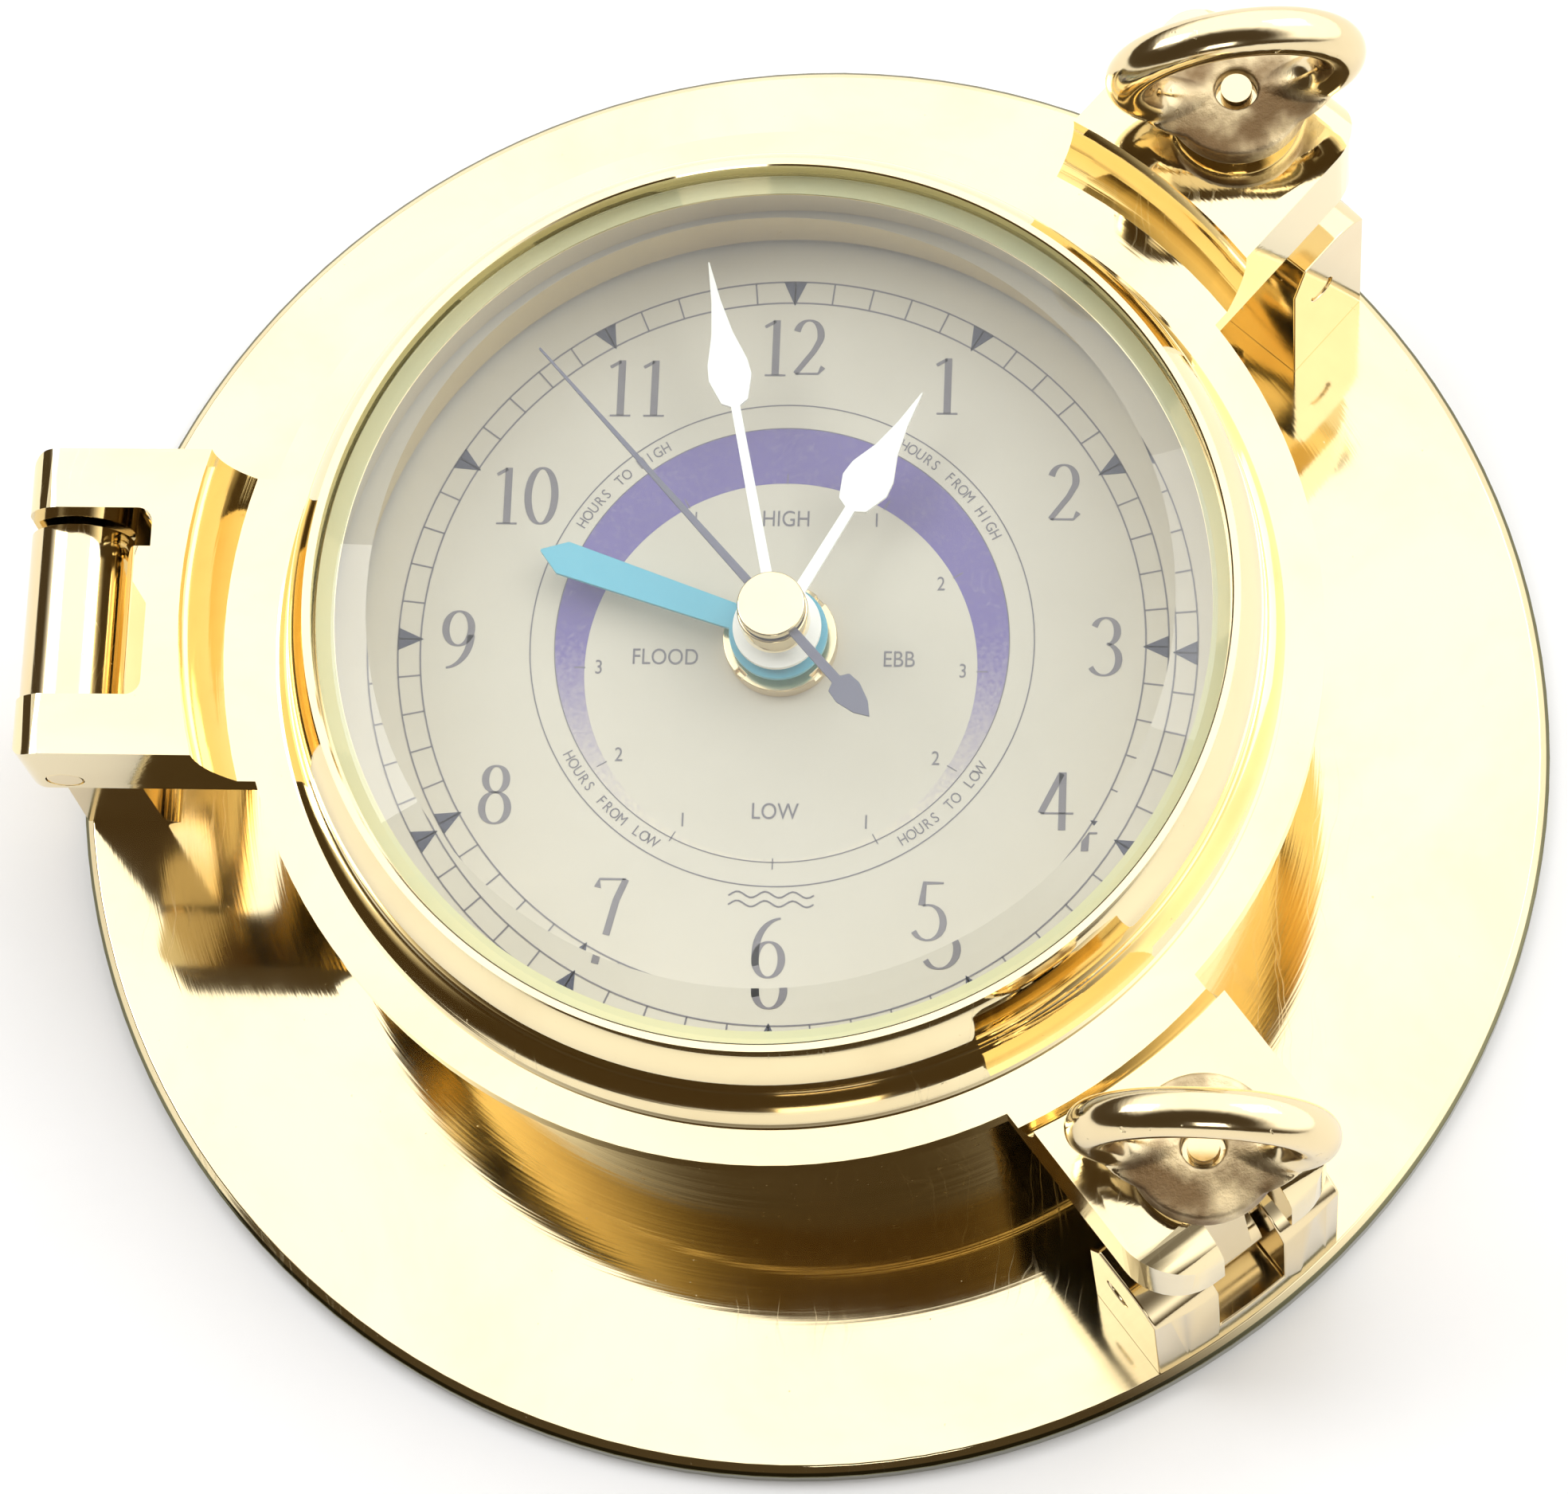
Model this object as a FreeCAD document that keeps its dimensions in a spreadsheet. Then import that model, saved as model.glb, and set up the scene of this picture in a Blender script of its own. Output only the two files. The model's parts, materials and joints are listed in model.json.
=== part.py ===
import FreeCAD, Part
import Sketcher
import math
import os
import re
from FreeCAD import Placement, Rotation, Vector

# Porthole clock: a brass porthole with a hinged glazed door, two swing-bolt dogs,
# a time-and-tide dial and a geared quartz movement.
# Row frame: origin at the centre of the base plate's back, +Z out of the dial, +Y to 12 o'clock.

SIZES = {
    # base plate
    "plate_radius": 75.0,
    "plate_thick": 3.0,
    "plate_bevel": 1.0,
    "plate_bore": 33.0,
    "wall_hole_radius": 2.25,
    "wall_hole_circle": 38.0,
    # case barrel
    "barrel_radius": 47.5,
    "barrel_bore": 45.0,
    "barrel_top": 36.2,
    "foot_bore": 41.0,
    "foot_top": 7.0,
    "ledge_bore": 41.8,
    "ledge_bottom": 32.0,
    "dial_back": 34.6,
    "dial_thick": 1.0,
    "dial_radius": 44.5,
    # door ring
    "ring_bottom": 36.5,
    "ring_thick": 2.9,
    "ring_radius": 52.2,
    "ring_bore": 45.3,
    "cove_foot": 53.9,
    "cove_head": 56.8,
    "lug_top": 47.8,
    "dog_lug_half": 11.0,
    "dog_lug_reach": 75.0,
    "dog_lug_corner": 6.0,
    "dog_lug_nose": 5.0,
    "nose_lift": 0.05,
    "dog_slot_half": 3.9,
    "hinge_lug_half": 15.4,
    "hinge_lug_reach": 72.6,
    "hinge_lug_nose": 3.6,
    "hinge_notch_half": 9.4,
    "hinge_notch_start": 60.0,
    "hinge_radius": 68.5,
    "hinge_height": 39.0,
    "hinge_pin_radius": 1.9,
    "running_gap": 0.08,
    # bezel and glass
    "bezel_bottom": 36.8,
    "bezel_bore": 41.3,
    "bezel_foot": 48.7,
    "bezel_top": 51.5,
    "bezel_rim": 44.3,
    "glass_radius": 43.3,
    "glass_bottom": 48.0,
    "glass_thick": 3.2,
    "glass_flat": 38.2,
    "glass_edge": 1.9,
    "gasket_thick": 0.4,
    # dogs
    "upper_dog_angle": 50.0,
    "lower_dog_angle": -51.5,
    "dog_circle": 67.0,
    "pivot_height": 18.0,
    "pivot_radius": 1.5,
    "clevis_inner": 62.8,
    "clevis_outer": 74.3,
    "clevis_top": 27.5,
    "clevis_floor": 9.0,
    "bolt_radius": 2.0,
    "bolt_tip_radius": 1.5,
    "bolt_top": 52.2,
    "eye_radius": 4.0,
    "eye_thick": 6.8,
    "nut_seat": 48.1,
    # movement
    "case_half": 28.0,
    "case_bottom": 17.4,
    "case_split": 25.4,
    "case_top": 33.4,
    "case_wall": 1.2,
    "gear_thick": 1.2,
}

# Gear train: tooth numbers, and the distances of the three side arbors from the centre.
SECOND_TEETH, SECOND_PINION = 48, 8
THIRD_TEETH, THIRD_PINION = 60, 8
CENTRE_TEETH, CANNON_TEETH = 64, 12
FIFTH_TEETH, FIFTH_PINION, ROTOR_PINION = 40, 8, 8
MINUTE_TEETH, MINUTE_PINION, TIDE_PINION = 36, 10, 14
HOUR_TEETH, TIDE_TEETH, TIDE_KNOB_TEETH = 40, 58, 20
THIRD_DISTANCE, THIRD_ANGLE = 15.0, 45.0
MINUTE_DISTANCE, MINUTE_ANGLE = 16.0, 135.0
FIFTH_DISTANCE, FIFTH_ANGLE = 14.0, -60.0
ROTOR_DISTANCE, ROTOR_ANGLE = 9.6, 0.0
TIDE_KNOB_ANGLE = 200.0
PRESSURE_ANGLE = math.radians(28.0)
MESH_SLACK = 0.12

# A quarter round's middle lies this share of its radius in from the corner it replaces.
ROUND_INSET = 0.2929
# Cosine of 45 degrees, for the middle of each quarter of a half-round slot end.
DIAGONAL = 0.7071

# Heights of the gear layers inside the movement case.
FIFTH_LAYER = 19.0
SECOND_LAYER = 20.8
THIRD_LAYER = 22.8
CENTRE_LAYER = 24.8
CANNON_LAYER = 26.6
HOUR_LAYER = 28.6
TIDE_LAYER = 30.4

# Hand angles in degrees clockwise from 12 o'clock, for 12:57:53 with the tide falling.
MINUTE_HAND_ANGLE = 347.8
HOUR_HAND_ANGLE = 28.9
SECOND_HAND_ANGLE = 318.0
TIDE_HAND_ANGLE = 289.0

DOC = FreeCAD.newDocument("porthole_clock")
SHEET = DOC.addObject("Spreadsheet::Sheet", "Size")
for row, (word, value) in enumerate(SIZES.items(), start=1):
    SHEET.set(f"A{row}", word)
    SHEET.set(f"B{row}", str(value))
    SHEET.setAlias(f"B{row}", word)
DOC.recompute()

PARTS = []


def linked(text):
    """An expression in which each size word points at its cell."""

    def point(found):
        word = found.group(0)
        return "Size." + word if word in SIZES else word

    return re.sub(r"[a-z_]{4,}", point, text)


def size(text):
    """The number an expression of size words stands for."""
    return float(SHEET.evalExpression(linked(str(text))))


def new_body(name):
    body = DOC.addObject("PartDesign::Body", name)
    body.Label = name
    PARTS.append(body)
    return body


def add_shape(name, shape):
    """A sub-part built with Part functions."""
    feature = DOC.addObject("Part::Feature", name)
    feature.Shape = shape
    feature.Placement = shape.Placement
    feature.Label = name
    PARTS.append(feature)
    return feature


def add_sketch(body, role, lift="0", turn=None):
    """A sketch on one of the body's own planes, raised by lift or turned about Z by the angle in a cell."""
    sketch = body.newObject("Sketcher::SketchObject", "Sketch")
    plane = [feature for feature in body.Origin.OriginFeatures if feature.Role == role][0]
    sketch.AttachmentSupport = (plane, [""])
    sketch.MapMode = "FlatFace"
    axis = Vector(0, 1, 0) if role == "XZ_Plane" else Vector(0, 0, 1)
    if turn:
        sketch.AttachmentOffset = Placement(Vector(0, 0, 0), Rotation(axis, size(turn)))
        sketch.setExpression("AttachmentOffset.Rotation.Angle", linked(f"({turn}) * 1 deg"))
    if lift != "0":
        sketch.setExpression("AttachmentOffset.Base.z", linked(lift))
    return sketch


def pin_point(sketch, piece, point, words):
    """Holds one end of a line or arc at the position two expressions give."""
    for kind, text in zip(("DistanceX", "DistanceY"), words):
        index = sketch.addConstraint(Sketcher.Constraint(kind, -1, 1, piece, point, size(text)))
        sketch.setExpression(f"Constraints[{index}]", linked(text))


def upright_arc(start, through, end):
    """The arc through three points, run anticlockwise as sketches need."""
    circle = Part.Arc(start, through, end).toShape().Curve
    centre = circle.Center
    first, middle, last = (math.atan2(p.y - centre.y, p.x - centre.x) for p in (start, through, end))
    full = 2 * math.pi
    if (middle - first) % full > (last - first) % full:
        first, last = last, first
    sweep = (last - first) % full
    return Part.ArcOfCircle(Part.Circle(centre, Vector(0, 0, 1), circle.Radius), first, first + sweep)


def draw_outline(sketch, corners):
    """A closed outline. A corner is (x, y), or (x, y, through_x, through_y) when an arc leads to it."""
    flat = [(size(c[0]), size(c[1])) for c in corners]
    count = len(corners)
    for i in range(count):
        x0, y0 = flat[i - 1]
        x1, y1 = flat[i]
        if len(corners[i]) == 4:
            through = Vector(size(corners[i][2]), size(corners[i][3]), 0)
            sketch.addGeometry(upright_arc(Vector(x0, y0, 0), through, Vector(x1, y1, 0)), False)
        else:
            sketch.addGeometry(Part.LineSegment(Vector(x0, y0, 0), Vector(x1, y1, 0)), False)
    for i in range(count):
        geometry = sketch.Geometry[i]
        end = Vector(flat[i][0], flat[i][1], 0)
        near = geometry.EndPoint.distanceToPoint(end) < geometry.StartPoint.distanceToPoint(end)
        following = sketch.Geometry[(i + 1) % count]
        leaves_start = following.StartPoint.distanceToPoint(end) < following.EndPoint.distanceToPoint(end)
        this_end = 2 if near else 1
        next_end = 1 if leaves_start else 2
        sketch.addConstraint(Sketcher.Constraint("Coincident", i, this_end, (i + 1) % count, next_end))
        pin_point(sketch, i, this_end, corners[i][:2])
        if len(corners[i]) == 4:
            sketch.addConstraint(Sketcher.Constraint("Radius", i, geometry.Radius))


def draw_circles(sketch, circles):
    """Circles, each (x, y, radius)."""
    for i, (x, y, radius) in enumerate(circles):
        sketch.addGeometry(Part.Circle(Vector(size(x), size(y), 0), Vector(0, 0, 1), size(radius)), False)
        pin_point(sketch, i, 3, (x, y))
        index = sketch.addConstraint(Sketcher.Constraint("Radius", i, size(radius)))
        sketch.setExpression(f"Constraints[{index}]", linked(str(radius)))


def on_circle(radius, angle):
    """The position expressions of a point on a circle about the origin."""
    return f"({radius}) * cos({angle} deg)", f"({radius}) * sin({angle} deg)"


def lathe(name, corners):
    """A body turned about Z from an outline of radius and height."""
    body = new_body(name)
    sketch = add_sketch(body, "XZ_Plane")
    draw_outline(sketch, corners)
    turned = body.newObject("PartDesign::Revolution", "Revolution")
    turned.Profile = sketch
    turned.ReferenceAxis = (sketch, ["V_Axis"])
    turned.Angle = 360
    sketch.Visibility = False
    return body


def extrude(body, kind, sketch, length, both=False, flip=False):
    """A pad or pocket of a sketch. Length None cuts or fills right through."""
    feature = body.newObject("PartDesign::" + kind, kind)
    feature.Profile = sketch
    if length is None:
        feature.Type = "ThroughAll"
    else:
        feature.setExpression("Length", linked(length))
    feature.Midplane = both
    feature.Reversed = flip
    sketch.Visibility = False
    return feature


def tube(radius, bore, low, high):
    """A plain tube about Z, or a rod when bore is 0."""
    shape = Part.makeCylinder(radius, high - low, Vector(0, 0, low))
    return shape.cut(Part.makeCylinder(bore, high - low + 2, Vector(0, 0, low - 1))) if bore else shape


def block(x0, x1, y0, y1, z0, z1):
    return Part.makeBox(x1 - x0, y1 - y0, z1 - z0, Vector(x0, y0, z0))


def moved(shape, x=0.0, y=0.0, z=0.0, turn=0.0):
    """A copy turned about Z by degrees and then moved."""
    placed = shape.copy()
    placed.Placement = Placement(Vector(x, y, z), Rotation(Vector(0, 0, 1), turn)).multiply(placed.Placement)
    return placed


def spot(distance, angle):
    """The x and y of a point at a distance and an angle from the centre."""
    return distance * math.cos(math.radians(angle)), distance * math.sin(math.radians(angle))


def slotted_screw(shank, length, head, head_thick):
    """A cheese-head screw that points up from the origin, its head below it."""
    body = tube(shank, 0, 0, length).fuse(tube(head, 0, -head_thick, 0))
    return body.cut(block(-head, head, -head / 6, head / 6, -head_thick, -head_thick / 2))


def gear(module, teeth, low, thick, bore=0.0, spokes=0, first_tooth=0.0):
    """A spur gear with involute flanks and a tooth centred on the first_tooth angle."""
    pitch_radius = module * teeth / 2
    base = pitch_radius * math.cos(PRESSURE_ANGLE)
    tip = pitch_radius + 0.8 * module
    root = pitch_radius - 1.05 * module
    half_tooth = math.pi / (2 * teeth) - MESH_SLACK * module / (2 * pitch_radius)
    start_roll = math.tan(PRESSURE_ANGLE) - PRESSURE_ANGLE

    def flank(radius):
        """Half the angle a tooth takes up at a radius."""
        if radius <= base:
            return half_tooth + start_roll
        roll = math.acos(base / radius)
        return half_tooth + start_roll - (math.tan(roll) - roll)

    low_radius = max(root, base)
    radii = [low_radius + (tip - low_radius) * i / 3 for i in range(4)]
    if root < base:
        radii = [root] + radii
    points = []
    for tooth in range(teeth):
        centre = math.radians(first_tooth) + 2 * math.pi * tooth / teeth
        for radius in radii:
            points.append((radius, centre - flank(radius)))
        for radius in reversed(radii):
            points.append((radius, centre + flank(radius)))
    corners = [Vector(r * math.cos(a), r * math.sin(a), low) for r, a in points]
    shape = Part.Face(Part.makePolygon(corners + corners[:1])).extrude(Vector(0, 0, thick))
    if spokes:
        window_radius = root * 0.22
        for i in range(spokes):
            x, y = spot(root * 0.6, 360 * i / spokes + first_tooth)
            shape = shape.cut(Part.makeCylinder(window_radius, thick, Vector(x, y, low)))
    if bore:
        shape = shape.cut(tube(bore, 0, low - 1, low + thick + 1))
    return shape


def meshing_tooth(angle, driver_teeth, driver_first, teeth):
    """The first-tooth angle of a gear whose gap meets the driver's tooth along the line at an angle."""
    phase = ((angle - driver_first) * driver_teeth / 360) % 1
    return angle + 180 - (0.5 - phase) * 360 / teeth


def hand_strip(points, low, thick, angle):
    """A flat hand drawn pointing up the page, turned clockwise from 12 o'clock."""
    corners = [Vector(x, y, low) for x, y in points]
    shape = Part.Face(Part.makePolygon(corners + corners[:1])).extrude(Vector(0, 0, thick))
    return moved(shape, turn=-angle)


def spade(tip, bulb, bulb_half, neck, stem_half, tail):
    """Half-outline points of a spade hand, mirrored into a full outline."""
    right = [
        (stem_half, tail),
        (stem_half * 0.8, neck),
        (bulb_half * 0.62, neck + 0.5),
        (bulb_half, bulb),
        (bulb_half * 0.93, bulb + 1.6),
        (bulb_half * 0.5, bulb + (tip - bulb) * 0.38),
        (bulb_half * 0.22, bulb + (tip - bulb) * 0.66),
        (0.06, tip),
    ]
    return right + [(-x, y) for x, y in reversed(right)]


# Base plate: a turned disc with its wall-screw holes and the counterbored screws of what stands on it.
base_plate = lathe("base_plate", [
    ("plate_bore", "0"),
    ("plate_radius", "0"),
    ("plate_radius", "plate_thick - plate_bevel"),
    ("plate_radius - plate_bevel", "plate_thick"),
    ("plate_bore", "plate_thick"),
])
SCREW_HOLE, HEAD_HOLE, HEAD_DEPTH = "1.6", "3.0", "1.7"
BARREL_SCREW_CIRCLE = 44.2
barrel_screws_at = [spot(BARREL_SCREW_CIRCLE, 45 + 90 * i) for i in range(4)]
post_screws_at = [(-69.6, -5.2), (-69.6, 5.2)]
CLEVIS_SCREW_RADIUS = 68.5
CLEVIS_SCREW_OFFSETS = (-7.4, 7.4)
clevis_screws_at = []
for word in ("upper_dog_angle", "lower_dog_angle"):
    for offset in CLEVIS_SCREW_OFFSETS:
        distance = math.hypot(CLEVIS_SCREW_RADIUS, offset)
        turn = math.degrees(math.atan2(offset, CLEVIS_SCREW_RADIUS))
        clevis_screws_at.append(spot(distance, size(word) + turn))
all_screws_at = barrel_screws_at + post_screws_at + clevis_screws_at
sketch = add_sketch(base_plate, "XY_Plane")
wall_holes = [on_circle("wall_hole_circle", angle) + ("wall_hole_radius",) for angle in (0, 90, 180, 270)]
screw_holes = [(f"{x:.4f}", f"{y:.4f}", SCREW_HOLE) for x, y in all_screws_at]
draw_circles(sketch, wall_holes + screw_holes)
extrude(base_plate, "Pocket", sketch, None, both=True)
sketch = add_sketch(base_plate, "XY_Plane")
draw_circles(sketch, [(x, y, HEAD_HOLE) for x, y, _ in screw_holes])
extrude(base_plate, "Pocket", sketch, HEAD_DEPTH, flip=True)

# Case barrel: screwed foot at the bottom, ledge for the dial at the top.
case_barrel = lathe("case_barrel", [
    ("barrel_radius", "plate_thick"),
    ("barrel_radius", "barrel_top"),
    ("dial_radius + 0.3", "barrel_top"),
    ("dial_radius + 0.3", "dial_back"),
    ("ledge_bore", "dial_back"),
    ("ledge_bore", "ledge_bottom"),
    ("barrel_bore", "ledge_bottom - 3"),
    ("barrel_bore", "foot_top"),
    ("foot_bore", "foot_top"),
    ("foot_bore", "plate_thick"),
])
sketch = add_sketch(case_barrel, "XY_Plane", "plate_thick")
draw_circles(sketch, [(f"{x:.4f}", f"{y:.4f}", "1.5") for x, y in barrel_screws_at])
extrude(case_barrel, "Pocket", sketch, "foot_top - plate_thick", flip=True)
DIAL_SCREW_CIRCLE = 43.1
dial_screws_at = [spot(DIAL_SCREW_CIRCLE, angle) for angle in (30, 150, 270)]
sketch = add_sketch(case_barrel, "XY_Plane", "dial_back")
draw_circles(sketch, [(f"{x:.4f}", f"{y:.4f}", "0.8") for x, y in dial_screws_at])
extrude(case_barrel, "Pocket", sketch, "2.0")

SCREW_LENGTH, SCREW_HEAD = 4.9, 1.5


def screw_group(name, places, length):
    screw = slotted_screw(1.5, length, 2.7, SCREW_HEAD)
    screws = [moved(screw, x, y, float(HEAD_DEPTH), 30.0) for x, y in places]
    return add_shape(name, Part.makeCompound(screws))


screw_group("barrel_screws", barrel_screws_at, SCREW_LENGTH)
screw_group("post_screws", post_screws_at, SCREW_LENGTH)
screw_group("clevis_screws", clevis_screws_at, SCREW_LENGTH)

# Hinge post: a web standing on the plate with a barrel round the pin.
BARREL_ROUND = "5.0"
hinge_post = new_body("hinge_post")
sketch = add_sketch(hinge_post, "XZ_Plane")
draw_outline(sketch, [
    ("-hinge_radius - 5.4", "plate_thick"),
    ("-hinge_radius + 4.2", "plate_thick"),
    ("-hinge_radius + 2.6", "plate_thick + 2", "-hinge_radius + 3.0", "plate_thick + 0.7"),
    ("-hinge_radius + 2.4", "hinge_height"),
    ("-hinge_radius - 4.6", "hinge_height"),
])
extrude(hinge_post, "Pad", sketch, "hinge_notch_half * 2 - 0.8", both=True)
sketch = add_sketch(hinge_post, "XZ_Plane")
draw_circles(sketch, [("-hinge_radius", "hinge_height", BARREL_ROUND)])
extrude(hinge_post, "Pad", sketch, "hinge_notch_half * 2 - 0.8", both=True)
sketch = add_sketch(hinge_post, "XZ_Plane")
draw_circles(sketch, [("-hinge_radius", "hinge_height", "hinge_pin_radius + running_gap")])
extrude(hinge_post, "Pocket", sketch, None, both=True)
sketch = add_sketch(hinge_post, "XY_Plane", "plate_thick")
draw_circles(sketch, [(f"{x:.4f}", f"{y:.4f}", "1.5") for x, y in post_screws_at])
extrude(hinge_post, "Pocket", sketch, "4.0", flip=True)

hinge_pin = DOC.addObject("Part::Cylinder", "hinge_pin")
hinge_pin.Label = "hinge_pin"
hinge_pin.setExpression("Radius", "Size.hinge_pin_radius")
hinge_pin.setExpression("Height", "Size.hinge_lug_half * 2")
hinge_pin.Placement = Placement(Vector(0, 0, 0), Rotation(Vector(1, 0, 0), 90))
hinge_pin.setExpression("Placement.Base.x", "-Size.hinge_radius")
hinge_pin.setExpression("Placement.Base.y", "Size.hinge_lug_half")
hinge_pin.setExpression("Placement.Base.z", "Size.hinge_height")
PARTS.append(hinge_pin)

# Door ring: a flat flange with two dog lugs and one hinge lug, cut back by a cove.
door_ring = lathe("door_ring", [
    ("ring_bore", "ring_bottom"),
    ("ring_radius", "ring_bottom"),
    ("ring_radius", "ring_bottom + ring_thick"),
    ("ring_bore", "ring_bottom + ring_thick"),
])
LUG_START = "ring_radius - 3"


def rounded_end(start, reach, half, corner):
    """The plan of a lug: a rectangle from start to reach with two rounded outer corners."""
    bulge = f"({corner}) * {ROUND_INSET}"
    return [
        (start, f"-({half})"),
        (f"{reach} - {corner}", f"-({half})"),
        (reach, f"-({half}) + {corner}", f"{reach} - {bulge}", f"-({half}) + {bulge}"),
        (reach, f"{half} - {corner}"),
        (f"{reach} - {corner}", half, f"{reach} - {bulge}", f"{half} - {bulge}"),
        (start, half),
    ]


def nose(reach, radius):
    """The section that a round nose of a lug takes off its upper outer edge."""
    bulge = f"({radius}) * {ROUND_INSET}"
    return [
        (f"{reach} - {radius}", "lug_top + nose_lift"),
        (f"{reach} + nose_lift", f"lug_top - {radius}", f"{reach} - {bulge}", f"lug_top - {bulge}"),
        (f"{reach} + 1", f"lug_top - {radius}"),
        (f"{reach} + 1", "lug_top + 1"),
        (f"{reach} - {radius}", "lug_top + 1"),
    ]


LUGS = (
    ("upper_dog_angle", "dog_lug_half", "dog_lug_reach", "dog_lug_corner", "dog_lug_nose"),
    ("lower_dog_angle", "dog_lug_half", "dog_lug_reach", "dog_lug_corner", "dog_lug_nose"),
    ("180", "hinge_lug_half", "hinge_lug_reach", "2.0", "hinge_lug_nose"),
)
for angle, half, reach, corner, _ in LUGS:
    sketch = add_sketch(door_ring, "XY_Plane", "ring_bottom", angle)
    draw_outline(sketch, rounded_end(LUG_START, reach, half, corner))
    extrude(door_ring, "Pad", sketch, "lug_top - ring_bottom")
for angle, _, reach, _, nose_radius in LUGS:
    sketch = add_sketch(door_ring, "XZ_Plane", "0", angle)
    draw_outline(sketch, nose(reach, nose_radius))
    extrude(door_ring, "Pocket", sketch, "hinge_lug_half * 2 + 4", both=True)
sketch = add_sketch(door_ring, "XZ_Plane")
draw_outline(sketch, [
    ("ring_bore - 1", "ring_bottom + ring_thick"),
    ("cove_foot", "ring_bottom + ring_thick"),
    ("cove_head", "lug_top + 0.01", "cove_foot + 2.0", "ring_bottom + ring_thick + 3.4"),
    ("cove_head", "lug_top + 1"),
    ("ring_bore - 1", "lug_top + 1"),
])
cove = door_ring.newObject("PartDesign::Groove", "Groove")
cove.Profile = sketch
cove.ReferenceAxis = (sketch, ["V_Axis"])
cove.Angle = 360
sketch.Visibility = False
slot_inset = f"dog_circle - dog_slot_half * {DIAGONAL}"
slot_side = f"dog_slot_half * {DIAGONAL}"
for angle in ("upper_dog_angle", "lower_dog_angle"):
    sketch = add_sketch(door_ring, "XY_Plane", "ring_bottom", angle)
    draw_outline(sketch, [
        ("dog_lug_reach + 1", "-dog_slot_half"),
        ("dog_lug_reach + 1", "dog_slot_half"),
        ("dog_circle", "dog_slot_half"),
        ("dog_circle - dog_slot_half", "0", slot_inset, slot_side),
        ("dog_circle", "-dog_slot_half", slot_inset, f"-{slot_side}"),
    ])
    extrude(door_ring, "Pocket", sketch, None, both=True)
sketch = add_sketch(door_ring, "XY_Plane", "ring_bottom", "180")
NOTCH_ROUND = 1.5
draw_outline(sketch, [
    ("hinge_lug_reach + 1", "-hinge_notch_half"),
    ("hinge_lug_reach + 1", "hinge_notch_half"),
    (f"hinge_notch_start + {NOTCH_ROUND}", "hinge_notch_half"),
    (
        "hinge_notch_start",
        f"hinge_notch_half - {NOTCH_ROUND}",
        f"hinge_notch_start + {NOTCH_ROUND * ROUND_INSET}",
        f"hinge_notch_half - {NOTCH_ROUND * ROUND_INSET}",
    ),
    ("hinge_notch_start", f"{NOTCH_ROUND} - hinge_notch_half"),
    (
        f"hinge_notch_start + {NOTCH_ROUND}",
        "-hinge_notch_half",
        f"hinge_notch_start + {NOTCH_ROUND * ROUND_INSET}",
        f"{NOTCH_ROUND * ROUND_INSET} - hinge_notch_half",
    ),
])
extrude(door_ring, "Pocket", sketch, None, both=True)
sketch = add_sketch(door_ring, "XZ_Plane")
draw_circles(sketch, [("-hinge_radius", "hinge_height", "hinge_pin_radius")])
extrude(door_ring, "Pocket", sketch, None, both=True)
SEAL_IN, SEAL_OUT = "46.0", "47.2"
sketch = add_sketch(door_ring, "XZ_Plane")
draw_outline(sketch, [
    (SEAL_IN, "ring_bottom - 1"),
    (SEAL_OUT, "ring_bottom - 1"),
    (SEAL_OUT, "ring_bottom + 0.9"),
    (SEAL_IN, "ring_bottom + 0.9"),
])
seal_groove = door_ring.newObject("PartDesign::Groove", "Groove")
seal_groove.Profile = sketch
seal_groove.ReferenceAxis = (sketch, ["V_Axis"])
seal_groove.Angle = 360
sketch.Visibility = False

lathe("door_seal", [
    (f"{SEAL_IN} + 0.1", "barrel_top + 0.05"),
    (f"{SEAL_OUT} - 0.1", "barrel_top + 0.05"),
    (f"{SEAL_OUT} - 0.1", "ring_bottom + 0.9"),
    (f"{SEAL_IN} + 0.1", "ring_bottom + 0.9"),
])
BEZEL_SEAT = "ring_bottom + ring_thick"
lathe("bezel", [
    ("bezel_bore", "bezel_bottom"),
    ("ring_bore", "bezel_bottom"),
    ("ring_bore", "ring_bottom + ring_thick"),
    ("bezel_foot", "ring_bottom + ring_thick"),
    ("bezel_foot", "ring_bottom + ring_thick + 0.5"),
    ("bezel_foot - 0.3", "ring_bottom + ring_thick + 0.5"),
    ("bezel_foot - 2.1", f"{BEZEL_SEAT} + 5.4", "bezel_foot - 1.5", f"{BEZEL_SEAT} + 2.7"),
    ("bezel_rim", "bezel_top", "bezel_foot - 2.9", f"{BEZEL_SEAT} + 9.2"),
    ("glass_radius + 0.2", "bezel_top"),
    ("glass_radius + 0.2", "glass_bottom - gasket_thick"),
    ("bezel_bore", "glass_bottom - gasket_thick"),
])
lathe("glass_gasket", [
    ("bezel_bore + 0.1", "glass_bottom - gasket_thick"),
    ("glass_radius", "glass_bottom - gasket_thick"),
    ("glass_radius", "glass_bottom"),
    ("bezel_bore + 0.1", "glass_bottom"),
])
lathe("glass", [
    ("0", "glass_bottom"),
    ("glass_radius", "glass_bottom"),
    ("glass_radius", "glass_bottom + glass_thick - glass_edge"),
    ("glass_flat", "glass_bottom + glass_thick"),
    ("0", "glass_bottom + glass_thick"),
])

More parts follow.
